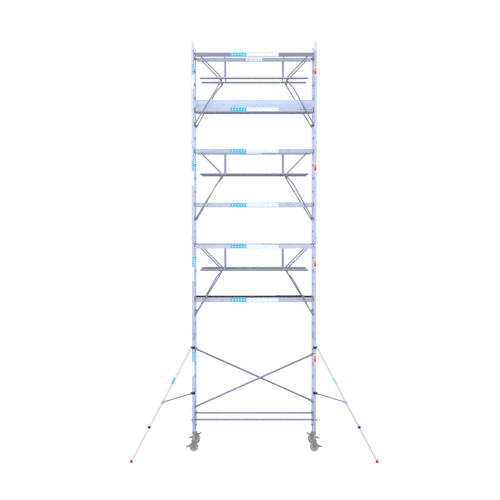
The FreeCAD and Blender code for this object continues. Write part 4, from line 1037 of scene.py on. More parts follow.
class TOWER_OT_platforms(bpy.types.Operator):
    """Side beams, cross members, hooks and rivets of the three platforms"""

    bl_idname = "tower.platforms"
    bl_label = "Platforms"

    def execute(self, context):
        """Build the three platforms."""
        for level in LEVELS:
            self.platform("platform_%d" % level, rung_z(PLATFORM_RUNGS[level - 1]))
        return {"FINISHED"}

    def platform(self, node, z):
        """One platform, without its decks."""
        s = sizes()
        half = END_X - s.beam_reach
        side_y = s.platform_width / 2 - s.side_deep / 2
        inside = s.platform_width / 2 - s.side_deep
        mid = s.side_rise - s.side_high / 2
        deck_low = s.side_rise - s.deck_sink - s.deck_thick
        beams, members, hooks, fittings = (Maker() for piece in range(4))
        outer = rounded(s.side_deep, s.side_high, 0.003, 0.0012, 0.042, 0.002)
        inner = rounded(s.side_deep - 0.006, s.side_high - 0.006, 0.0015, 0.0, 0.04, 0.002)
        for hand in (-1, 1):
            beams.prism(outer, "X", -half, half, (0, hand * side_y, mid), inner)
        hatch_end = s.hatch_start + s.hatch_length
        wide, high = 0.03, 0.04
        for x in (-half, -half * 2 / 3, -half / 3, 0, s.hatch_start - wide / 2, hatch_end - wide / 2,
                  half - wide):
            section = rounded(wide, high, 0.003)
            hollow = rounded(wide - 0.005, high - 0.005, 0.0015)
            members.prism(section, "Y", -inside, inside, (x + wide / 2, 0, deck_low - high / 2), hollow)
        for side in (-1, 1):
            for hand in (-1, 1):
                rung_hook(hooks, fittings, hand * END_X, 0, hand, mid - 0.035, s.side_rise, side * side_y)
        place = (0, BAY_Y, z)
        show(node + "_side_beams", beams.mesh(node, *place), "tower", "extruded_aluminium_platform",
             stands_for=(node,))
        # The cross members carry a dark tone as painted shade under the deck.
        show(node + "_cross_members", members.mesh(node, *place), "tower", "extruded_aluminium_member")
        show(node + "_hooks", hooks.mesh(node, *place), "tower", "zinc_plated_steel",
             bevel=0.0012)
        show(node + "_latches", fittings.mesh(node, *place), "tower", "zinc_plated_steel")
        self.rivets(node, z, half, mid)
        self.hinge(node, z, inside)

    def rivets(self, node, z, half, mid):
        """A row of rivets along the lower edge of each side beam."""
        s = sizes()
        for hand, name in ((-1, "front"), (1, "back")):
            face = hand * s.platform_width / 2
            head = Maker().rivet((-half + 0.06, BAY_Y + face, z + mid - 0.026), Y * hand, 0.0045, 0.0016)
            count = 13
            step = 2 * (half - 0.06) / (count - 1)
            mesh = grow(head.mesh("rivet"), rows_tree(), count=count, step=(step, 0, 0), rows=1,
                        material="zinc_plated_steel")
            show("%s_rivets_%s" % (node, name), mesh, "tower", "zinc_plated_steel")

    def hinge(self, node, z, inside):
        """The hatch's hinge pin and its two fixed leaves."""
        s = sizes()
        maker = Maker()
        r = 0.006
        deck_high = s.side_rise - s.deck_sink
        y = inside - r - 0.003
        height = deck_high + r
        end = s.hatch_start + s.hatch_length
        knuckle = s.hatch_length / 6
        maker.rod((s.hatch_start, y, height), (end, y, height), 0.003, 12, 0.0005)
        reach = s.platform_width / 2 - s.toe_thick - 0.0003
        for x in (s.hatch_start, end - knuckle):
            maker.tube((x, y, height), (x + knuckle, y, height), r, 0.0029, 16, 0.0005)
            maker.block((x, y + r * 0.6, s.side_rise), (x + knuckle, reach, s.side_rise + 0.002))
        show(node + "_hinge", maker.mesh(node, 0, BAY_Y, z), "tower", "zinc_plated_steel")


class TOWER_OT_decks(bpy.types.Operator):
    """Plywood decks with their countersunk screws"""

    bl_idname = "tower.decks"
    bl_label = "Decks"

    def execute(self, context):
        """Build the decks of the three platforms."""
        s = sizes()
        half = END_X - s.beam_reach
        inside = s.platform_width / 2 - s.side_deep - 0.002
        top = s.side_rise - s.deck_sink
        for level in LEVELS:
            z = rung_z(PLATFORM_RUNGS[level - 1])
            maker = Maker()
            for x1, x2 in ((-half, s.hatch_start - 0.003), (s.hatch_start + s.hatch_length + 0.003, half)):
                maker.block((x1, -inside, top - s.deck_thick), (x2, inside, top))
            show("deck_%d_panels" % level, maker.mesh("deck", 0, BAY_Y, z), "tower", "phenolic_film_plywood",
                 bevel=0.001, stands_for=("deck_%d" % level,))
            screw = Maker().rivet((-half + 0.015, BAY_Y - inside + 0.03, z + top), Z, 0.006, 0.0006)
            step = half / 3
            mesh = grow(screw.mesh("screw"), rows_tree(), count=5, step=(step, 0, 0), rows=3,
                        row_step=(0, inside - 0.03, 0), material="zinc_plated_steel")
            show("deck_%d_screws" % level, mesh, "tower", "zinc_plated_steel")
        return {"FINISHED"}


class TOWER_OT_hatches(bpy.types.Operator):
    """Hatch panels with leaf, catch and screws"""

    bl_idname = "tower.hatches"
    bl_label = "Hatches"

    def execute(self, context):
        """Build the three hatches."""
        s = sizes()
        inside = s.platform_width / 2 - s.side_deep
        top = s.side_rise - s.deck_sink
        hinge_y = inside - 0.006 - 0.003
        low_y = -(inside - 0.003)
        start, end = s.hatch_start, s.hatch_start + s.hatch_length
        free_rim = s.platform_width / 2 - s.toe_thick - 0.0003
        for level in LEVELS:
            z = rung_z(PLATFORM_RUNGS[level - 1])
            name, body = "hatch_%d" % level, "hatch_%d" % level
            panel = Maker().block((start, low_y, top - s.deck_thick + 0.0003), (end, hinge_y - 0.003, top))
            show(name + "_panel", panel.mesh(name, 0, BAY_Y, z), body, "phenolic_film_plywood",
                 bevel=0.001, stands_for=(name,))
            leaf = Maker()
            first, last = start + s.hatch_length / 6 + 0.003, end - s.hatch_length / 6 - 0.003
            leaf.tube((first, hinge_y, top + 0.006), (last, hinge_y, top + 0.006), 0.006, 0.0029, 16, 0.0005)
            leaf.block((first, hinge_y - 0.036, top), (last, hinge_y - 0.004, top + 0.002))
            show(name + "_leaf", leaf.mesh(name, 0, BAY_Y, z), body, "zinc_plated_steel")
            screw = Maker().rivet((first + 0.03, BAY_Y + hinge_y - 0.024, z + top + 0.002), Z, 0.005, 0.001)
            mesh = grow(screw.mesh("screw"), rows_tree(), count=5, step=((last - first - 0.06) / 4, 0, 0),
                        rows=1, material="zinc_plated_steel")
            show(name + "_screws", mesh, body, "zinc_plated_steel")
            catch = Maker()
            x1, x2 = (start + end) / 2 - 0.035, (start + end) / 2 + 0.035
            outline = [(low_y, top), (low_y + 0.012, top), (low_y + 0.012, top + 0.005),
                       (low_y + 0.008, top + 0.008), (-free_rim, top + 0.008), (-free_rim, top + 0.0043),
                       (low_y, top + 0.0043)]
            catch.prism(outline, "X", x1, x2)
            show(name + "_catch", catch.mesh(name, 0, BAY_Y, z), body, "black_nylon",
                 bevel=0.0008)
        return {"FINISHED"}


class TOWER_OT_toe_boards(bpy.types.Operator):
    """Toe boards round the highest platform, with corner clips"""

    bl_idname = "tower.toe_boards"
    bl_label = "Toe boards"

    def execute(self, context):
        """Build the boards."""
        s = sizes()
        half = END_X - s.beam_reach
        z = rung_z(PLATFORM_RUNGS[-1]) + s.side_rise + s.toe_high / 2
        wide, thick = s.platform_width / 2, s.toe_thick
        section = rounded(thick, s.toe_high, 0.004, 0.0012, 0.05, 0.004)
        long_boards, end_boards, clips = Maker(), Maker(), Maker()
        for hand in (-1, 1):
            long_boards.prism(section, "X", -half, half, (0, hand * (wide - thick / 2), 0))
            x = hand * (half - thick / 2)
            end_boards.prism(section, "Y", -(wide - thick) + 0.0003, wide - thick - 0.0003, (x, 0, 0))
            for side in (-1, 1):
                y = side * (wide - thick)
                inner = x - hand * thick / 2
                for height in (-0.045, 0.045):
                    corner = [(inner, y), (inner - hand * 0.02, y), (inner, y - side * 0.02)]
                    clips.prism(corner, "Z", height - 0.012, height + 0.012)
        show("toe_boards_long_boards", long_boards.mesh("boards", 0, BAY_Y, z), "tower",
             "coated_aluminium_board", stands_for=("toe_boards_long",))
        show("toe_boards_end_boards", end_boards.mesh("boards", 0, BAY_Y, z), "tower",
             "coated_aluminium_board", stands_for=("toe_boards_end",))
        show("toe_board_clips", clips.mesh("clips", 0, BAY_Y, z), "tower", "black_nylon",
             bevel=0.001)
        return {"FINISHED"}


# --- Castors ---

WHEEL_R = 0.0975
WHEEL_WIDTH = 0.05
TRAIL = 0.009
AXLE_R = 0.008
PLATE_Y = WHEEL_WIDTH / 2 + 0.004
PLATE = 0.006
CROWN_LOW = 0.206
CROWN_HIGH = 0.036
CROWN_R = 0.044
NUT_HIGH = 0.04
PEDAL_OUT_Z = 0.092
PEDAL_IN_Z = 0.212


def castor_places():
    """Name, place and turn of each castor, whose inward side is drawn towards +X."""
    for place in PLACES:
        left = place.endswith("left")
        y = FRONT_Y if place.startswith("front") else BACK_Y
        yield place, -END_X if left else END_X, y, 0 if left else 180


class TOWER_OT_spindles(bpy.types.Operator):
    """Threaded levelling spindles and their nuts"""

    bl_idname = "tower.spindles"
    bl_label = "Levelling spindles"

    def execute(self, context):
        """Build the four spindles and nuts."""
        for place, x, y, turn in castor_places():
            self.spindle(place, x, y)
            self.nut(place, x, y, turn)
        return {"FINISHED"}

    def spindle(self, place, x, y):
        """A tube with a rolled round thread, above its plug and journal."""
        s = sizes()
        low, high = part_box("spindle_" + place)
        top = CROWN_LOW + CROWN_HIGH
        core = Maker()
        ridge = 0.0016
        r = s.spigot_radius - ridge
        core.lathe((x, y, low.z), Z, [(0, 0), (0, 0.0145), (CROWN_HIGH, 0.0145), (CROWN_HIGH, r + 0.001),
                                      (CROWN_HIGH + 0.006, r + 0.001), (CROWN_HIGH + 0.008, r),
                                      (high.z - low.z, r), (high.z - low.z, 0.015),
                                      (CROWN_HIGH + 0.02, 0.015), (CROWN_HIGH + 0.02, 0)], 28)
        mesh = grow(core.mesh("spindle"), thread_tree(), radius=r, pitch=s.thread_pitch,
                    height=high.z - top - 0.03, ridge=ridge, foot=(x, y, top + 0.014),
                    material="bright_zinc_steel")
        show("spindle_%s_thread" % place, mesh, "spindle_" + place, "bright_zinc_steel",
             stands_for=("spindle_" + place,))

    def nut(self, place, x, y, turn):
        """A cast nut with grip ribs and two handles."""
        low = BASE_Z - 0.0003 - NUT_HIGH
        bore = sizes().spigot_radius + 0.0008
        profile = [(0, bore), (0, 0.029), (0.003, 0.031), (0.012, 0.031), (0.016, 0.029), (0.03, 0.029),
                   (0.034, 0.032), (0.038, 0.032), (NUT_HIGH, 0.03), (NUT_HIGH, bore)]
        maker = Maker().lathe((0, 0, low), Z, profile, 28, closed=True)
        for hand in (-1, 1):
            start = Vector((hand * 0.027, 0, low + NUT_HIGH / 4))
            end = Vector((hand * 0.052, 0, low + NUT_HIGH / 4))
            maker.lathe(start, X * hand, [(0, 0), (0, 0.008), (0.012, 0.007), (0.025, 0.0078),
                                          (0.025, 0)], 16)
            maker.ball_end(end, X * hand, 0.0078, 16)
        show("spindle_nut_%s_casting" % place, maker.mesh("nut", x, y, 0, turn), "nut_" + place,
             "bright_zinc_steel", stands_for=("spindle_nut_" + place,))
        rib = Maker().block((0.0285, -0.0012, low + 0.0165), (0.0312, 0.0012, low + 0.0295))
        mesh = grow(rib.mesh("rib", x, y), round_tree(), count=20, centre=(x, y, 0), axis=(0, 0, 1),
                    material="bright_zinc_steel")
        show("spindle_nut_%s_ribs" % place, mesh, "nut_" + place, "bright_zinc_steel")


class TOWER_OT_castor_forks(bpy.types.Operator):
    """Crown, cheeks, axle and nuts of the four castors"""

    bl_idname = "tower.castor_forks"
    bl_label = "Castor forks"

    def execute(self, context):
        """Build the four forks."""
        for place, x, y, turn in castor_places():
            fork, bolts = Maker(), Maker()
            gap = 0.0147
            fork.lathe((0, 0, CROWN_LOW), Z, [(0, gap), (0, 0.038), (0.004, 0.043), (0.012, 0.044),
                                              (0.016, 0.041), (0.02, 0.041), (0.024, 0.0435), (0.03, 0.0435),
                                              (0.0345, 0.037), (0.0357, 0.03), (0.0357, gap)], 36,
                        closed=True)
            wide = PLATE_Y + PLATE
            bridge = rounded(1.7 * CROWN_R, 2 * wide, 0.006)
            fork.prism(bridge, "Z", CROWN_LOW - PLATE, CROWN_LOW - 0.0002)
            self.cheeks(fork)
            fork.rod((TRAIL, -wide - PLATE, WHEEL_R), (TRAIL, wide + PLATE, WHEEL_R), AXLE_R, 20, 0.001)
            pivot = self.pivot_height()
            for side in (-1, 1):
                fork.rod((TRAIL, side * (wide - 0.003), pivot), (TRAIL, side * (wide + PLATE), pivot),
                         AXLE_R - 0.0002, 20)
                bolts.hexagon((TRAIL, side * (wide + 0.001), WHEEL_R), Y * side, 0.0105, 0.0045)
                bolts.hexagon((-0.022, side * 0.02, CROWN_LOW - PLATE), -Z, 0.0045, 0.003)
            show("castor_fork_%s_pressing" % place, fork.mesh("fork", x, y, 0, turn), "fork_" + place,
                 "pressed_steel_fork", stands_for=("castor_fork_" + place,))
            show("castor_fork_%s_nuts" % place, bolts.mesh("nuts", x, y, 0, turn), "fork_" + place,
                 "zinc_plated_steel")
        return {"FINISHED"}

    def cheeks(self, fork):
        """Two tapered plates with round lower ends."""
        half, eye = 0.85 * CROWN_R, 3 * AXLE_R
        tangent = arc(eye, 200, 340, 10)
        outline = ([(-half, CROWN_LOW - PLATE), (-half, CROWN_LOW - PLATE - 0.012)]
                   + [(TRAIL + u, WHEEL_R + v) for u, v in tangent]
                   + [(half, CROWN_LOW - PLATE - 0.012), (half, CROWN_LOW - PLATE)])
        for low in (PLATE_Y, -PLATE_Y - PLATE):
            fork.prism(outline, "Y", low, low + PLATE)

    @staticmethod
    def pivot_height():
        """Height of the pedal's studs above the floor."""
        return PEDAL_OUT_Z + (PEDAL_IN_Z - PEDAL_OUT_Z) * 0.16 / (0.16 + 0.121)


class TOWER_OT_castor_wheels(bpy.types.Operator):
    """Tyre, webbed hub, spokes and edge blocks of the four castors"""

    bl_idname = "tower.castor_wheels"
    bl_label = "Castor wheels"

    def execute(self, context):
        """Build the four wheels."""
        for place, x, y, turn in castor_places():
            body = "wheel_" + place
            half = WHEEL_WIDTH / 2
            tyre = Maker().lathe((TRAIL, -half, WHEEL_R), Y, [
                (0.002, 0.0725), (0.0005, 0.0745), (0.0, 0.083), (0.003, 0.091), (0.009, 0.0955),
                (0.018, 0.0972), (half, WHEEL_R), (2 * half - 0.018, 0.0972), (2 * half - 0.009, 0.0955),
                (2 * half - 0.003, 0.091), (2 * half, 0.083), (2 * half - 0.0005, 0.0745),
                (2 * half - 0.002, 0.0725)], 56, closed=True)
            show("castor_wheel_%s_tyre" % place, tyre.mesh("tyre", x, y, 0, turn), body,
                 "polyurethane_tyre", stands_for=("castor_wheel_" + place,))
            hub = Maker().lathe((TRAIL, -half, WHEEL_R), Y, [
                (0.003, AXLE_R + 0.0001), (0.003, 0.019), (0.008, 0.0215), (0.014, 0.023), (0.016, 0.056),
                (0.008, 0.0615), (0.004, 0.064), (0.003, 0.0665), (0.003, 0.0724), (0.047, 0.0724),
                (0.047, 0.0665), (0.046, 0.064), (0.042, 0.0615), (0.034, 0.056), (0.036, 0.023),
                (0.042, 0.0215), (0.047, 0.019), (0.047, AXLE_R + 0.0001)], 48, closed=True)
            show("castor_wheel_%s_hub" % place, hub.mesh("hub", x, y, 0, turn), body, "nylon_wheel")
            self.ribs(place, x, y, turn, body)
        return {"FINISHED"}

    def ribs(self, place, x, y, turn, body):
        """Spokes that stiffen both faces of the hub, and grooves' blocks round the tyre's edge."""
        rib = Maker()
        for low, high in ((-0.0205, -0.0095), (0.0095, 0.0205)):
            rib.block((TRAIL + 0.021, low, WHEEL_R - 0.002), (TRAIL + 0.0605, high, WHEEL_R + 0.002))
        centre = Matrix.Rotation(math.radians(turn), 3, "Z") @ Vector((TRAIL, 0, 0))
        centre = (x + centre.x, y, WHEEL_R)
        mesh = grow(rib.mesh("rib", x, y, 0, turn), round_tree(), count=12, centre=centre, axis=(0, 1, 0),
                    material="nylon_wheel")
        show("castor_wheel_%s_spokes" % place, mesh, body, "nylon_wheel")
        lug = Maker()
        for side in (-1, 1):
            lug.block((TRAIL + 0.0755, side * 0.0225 - 0.0024, WHEEL_R - 0.0035),
                      (TRAIL + 0.0815, side * 0.0225 + 0.0024, WHEEL_R + 0.0035))
        mesh = grow(lug.mesh("lug", x, y, 0, turn), round_tree(), count=36, centre=centre, axis=(0, 1, 0),
                    material="polyurethane_tyre")
        show("castor_wheel_%s_lugs" % place, mesh, body, "polyurethane_tyre")


class TOWER_OT_brake_pedals(bpy.types.Operator):
    """Rocking brake pedals with ribbed pads"""

    bl_idname = "tower.brake_pedals"
    bl_label = "Brake pedals"

    def execute(self, context):
        """Build the four pedals."""
        out, out_z, inner, inner_z = 0.16, PEDAL_OUT_Z, 0.121, PEDAL_IN_Z
        arm_y = PLATE_Y + PLATE + 0.0003
        for place, x, y, turn in castor_places():
            body = "pedal_" + place
            bars, brake, release = Maker(), Maker(), Maker()
            x1, x2 = TRAIL - out, TRAIL + inner
            for low in (arm_y, -arm_y - PLATE):
                brake.prism(self.bar(x1, x2, (0, 0.1, 0.24)), "Y", low, low + PLATE)
                bars.prism(self.bar(x1, x2, (0.24, 0.5, 0.8, 1)), "Y", low, low + PLATE)
            pad = rounded(0.03, 0.012, 0.003)
            brake.prism(pad, "Y", -arm_y, arm_y, (x1 + 0.015, 0, out_z))
            release.prism(rounded(0.024, 0.012, 0.003), "Y", -arm_y, arm_y, (x2 - 0.012, 0, inner_z))
            place_at = (x, y, 0, turn)
            show("brake_pedal_%s_bars" % place, bars.mesh("bars", *place_at), body, "pressed_steel_fork",
                 bevel=0.0008, stands_for=("brake_pedal_" + place,))
            show("brake_pedal_%s_brake_pad" % place, brake.mesh("pad", *place_at), body,
                 "nylon_brake_pedal")
            show("brake_pedal_%s_release_pad" % place, release.mesh("pad", *place_at), body,
                 "nylon_release_pedal")
            for name, start, height, finish in (("brake", x1 + 0.004, out_z, "nylon_brake_pedal"),
                                                ("release", x2 - 0.02, inner_z, "nylon_release_pedal")):
                rib = Maker().block((start, -arm_y + 0.003, height + 0.0055),
                                    (start + 0.0025, arm_y - 0.003, height + 0.0072))
                step = Matrix.Rotation(math.radians(turn), 3, "Z") @ Vector((0.006, 0, 0))
                mesh = grow(rib.mesh("rib", *place_at), rows_tree(), count=3, step=tuple(step), rows=1,
                            material=finish)
                show("brake_pedal_%s_%s_ribs" % (place, name), mesh, body, finish)
        return {"FINISHED"}

    @staticmethod
    def bar(x1, x2, shares):
        """Outline of a stretch of a bar that is deepest at its middle."""
        lower, upper = [], []
        for share in shares:
            x, z = x1 + share * (x2 - x1), PEDAL_OUT_Z + share * (PEDAL_IN_Z - PEDAL_OUT_Z)
            half = 0.0075 + 0.0061 * math.sin(math.pi * share)
            lower.append((x, z - half))
            upper.append((x, z + half))
        return lower + upper[::-1]


# --- Stabilisers ---

STAB_RUN = 1.585
STAB_TURN = 47.5
CLAMP_ARM = 0.062
CLAMP_HIGH = 0.052
STAB_R = 0.0225
LEG_R = 0.0192
STAY_R = 0.016
FOOT_HIGH = 0.056
FOOT_R = 0.032
STAY_SHARE = 0.49


class TOWER_OT_stabilisers(bpy.types.Operator):
    """Clamps, telescopic tubes, stays and feet of the two stabilisers"""

    bl_idname = "tower.stabilisers"
    bl_label = "Stabilisers"

    def execute(self, context):
        """Build both stabilisers."""
        for side, x, turn in (("left", -END_X, -90 - STAB_TURN), ("right", END_X, STAB_TURN - 90)):
            self.stabiliser(side, (x, FRONT_Y, 0, turn))
        return {"FINISHED"}

    @staticmethod
    def on_tube(share):
        """A point on the stabiliser's line, as a share of its length from the upper clamp."""
        top = rung_z(5) + 0.144
        foot = FOOT_HIGH / 2
        return Vector((CLAMP_ARM + share * (STAB_RUN - CLAMP_ARM), 0, top - share * (top - foot)))

    def stabiliser(self, side, place):
        """One stabiliser, drawn in an upright plane along +X."""
        top, tip = self.on_tube(0), self.on_tube(1)
        way = (tip - top).normalized()
        body, leg_body = "stabiliser_" + side, "leg_" + side
        low_z = rung_z(2) + sizes().rung_radius + 0.003 + CLAMP_HIGH / 2
        clamps, bolts = Maker(), Maker()
        for height in (top.z, low_z):
            self.clamp(clamps, bolts, height)
        show("stabiliser_clamps_%s_mouldings" % side, clamps.mesh("clamps", *place), body, "black_nylon",
             bevel=0.0015, stands_for=("stabiliser_clamps_" + side,))
        show("stabiliser_clamps_%s_bolts" % side, bolts.mesh("bolts", *place), body, "zinc_plated_steel")
        end = self.on_tube(0.72)
        tube = Maker().tube(top + way * 0.004, end, STAB_R, 0.003, 32)
        show("stabiliser_tube_%s_outer" % side, tube.mesh("tube", *place), body,
             "drawn_aluminium_stabiliser", stands_for=("stabiliser_tube_" + side,))
        collar = Maker()
        profile = [(0, STAB_R + 0.0002), (0, STAB_R + 0.004), (0.03, STAB_R + 0.004), (0.045, STAB_R + 0.002),
                   (0.05, STAB_R), (0.05, LEG_R + 0.0003), (0.049, LEG_R + 0.0003), (0.0, STAB_R - 0.001)]
        collar.lathe(end - way * 0.05, way, profile, 28, closed=True)
        across = way.cross(Y).normalized()
        collar.rod(end - way * 0.028 + across * (STAB_R + 0.002),
                   end - way * 0.028 + across * (STAB_R + 0.022), 0.006, 16)
        collar.lathe(end - way * 0.028 + across * (STAB_R + 0.02), across,
                     [(0, 0), (0, 0.011), (0.004, 0.013), (0.009, 0.011), (0.011, 0)], 10)
        show("stabiliser_tube_%s_clamp_knob" % side, collar.mesh("knob", *place), body, "black_nylon")
        self.stay(side, place, way, low_z, body)
        self.leg(side, place, way, tip, leg_body)

    def clamp(self, clamps, bolts, height):
        """A split ring round the stile, its arm and bolts."""
        s = sizes()
        inner = STILE_R + s.hook_gap
        outer = inner + 0.012
        low, high = height - CLAMP_HIGH / 2, height + CLAMP_HIGH / 2
        ring = arc(outer, 20, 340, 30) + arc(inner, 340, 20, 26)
        clamps.prism(ring, "Z", low, high)
        arm = [(0.024, -STAB_R), (CLAMP_ARM - 0.008, -STAB_R), (CLAMP_ARM, -STAB_R + 0.008),
               (CLAMP_ARM, STAB_R - 0.008), (CLAMP_ARM - 0.008, STAB_R), (0.024, STAB_R)]
        clamps.prism(arm, "Z", low, high)
        for z in (low + 0.012, high - 0.012):
            bolts.hexagon((0.048, STAB_R, z), Y, 0.007, 0.0045)
            bolts.hexagon((0.048, -STAB_R, z), -Y, 0.007, 0.0045)

    def stay(self, side, place, way, low_z, body):
        """The stay from the lower clamp to its collar on the outer tube."""
        seat = self.on_tube(STAY_SHARE)
        start = Vector((CLAMP_ARM, 0, low_z))
        slope = (seat - Vector((0, 0, low_z))).normalized()
        start = Vector((0, 0, low_z)) + slope * (CLAMP_ARM + 0.001) / slope.x
        end = seat - slope * (STAB_R + 0.012)
        tube = Maker().tube(start, end, STAY_R, 0.002, 24)
        show("stabiliser_stay_%s_tube" % side, tube.mesh("stay", *place), body, "drawn_aluminium_brace",
             stands_for=("stabiliser_stay_" + side,))
        half = 0.028
        collar = Maker()
        r = STAB_R + 0.0003
        collar.lathe(seat - way * half, way, [(0, r), (0, r + 0.009), (0.003, r + 0.0115),
                                              (2 * half - 0.003, r + 0.0115), (2 * half, r + 0.009),
                                              (2 * half, r)], 32, closed=True)
        for face in (-1, 1):
            collar.prism(rounded(0.05, 0.036, 0.01), "Y", face * 0.018 - 0.003, face * 0.018 + 0.003,
                         seat - slope * (STAB_R + 0.02))
        show("stabiliser_stay_%s_collar" % side, collar.mesh("collar", *place), body, "welded_aluminium")
        bolts = Maker()
        for face in (-1, 1):
            bolts.hexagon(seat - slope * (STAB_R + 0.022) + Y * face * 0.021, Y * face, 0.008, 0.005)
        show("stabiliser_stay_%s_bolts" % side, bolts.mesh("bolts", *place), body, "zinc_plated_steel")

    def leg(self, side, place, way, tip, body):
        """The inner tube with its row of adjusting holes, and the rubber foot."""
        total = (tip - self.on_tube(0)).length
        start = self.on_tube(0.72 - 0.45 / total)
        leg = Maker().tube(start, tip - way * 0.004, LEG_R, 0.003, 28)
        show("stabiliser_leg_%s_tube" % side, leg.mesh("leg", *place), body, "drawn_aluminium_stabiliser",
             stands_for=("stabiliser_leg_" + side,))
        across = way.cross(Y).normalized()
        first = self.on_tube(0.75) + across * (LEG_R + 0.0002)
        hole = Maker().lathe(first - across * 0.001, across,
                             [(0, 0), (0, 0.0055), (0.0014, 0.005), (0.0006, 0.0035), (0.0006, 0)], 14)
        turn = Matrix.Rotation(math.radians(place[3]), 3, "Z")
        step = turn @ (way * 0.08)
        mesh = grow(hole.mesh("hole", *place), rows_tree(), count=4, step=tuple(step), rows=1,
                    material="black_nylon")
        show("stabiliser_leg_%s_stops" % side, mesh, body, "black_nylon")
        foot = Maker()
        profile = [(0, 0), (0, FOOT_R - 0.002), (0.002, FOOT_R), (0.008, FOOT_R)]
        for ring in range(4):
            z = 0.012 + ring * 0.009
            r = FOOT_R * (1 - 0.2 * z / FOOT_HIGH)
            profile += [(z - 0.001, r - 0.0015), (z + 0.003, r - 0.0015), (z + 0.004, r), (z + 0.007, r)]
        profile += [(FOOT_HIGH - 0.004, 0.8 * FOOT_R), (FOOT_HIGH, 0.8 * FOOT_R - 0.004),
                    (FOOT_HIGH, LEG_R + 0.0005), (FOOT_HIGH - 0.02, LEG_R + 0.0004), (FOOT_HIGH - 0.02, 0)]
        foot.lathe((STAB_RUN, 0, 0), Z, profile, 36)
        show("stabiliser_foot_%s_rubber" % side, foot.mesh("foot", *place), body, "red_rubber",
             stands_for=("stabiliser_foot_" + side,))


# --- Labels ---


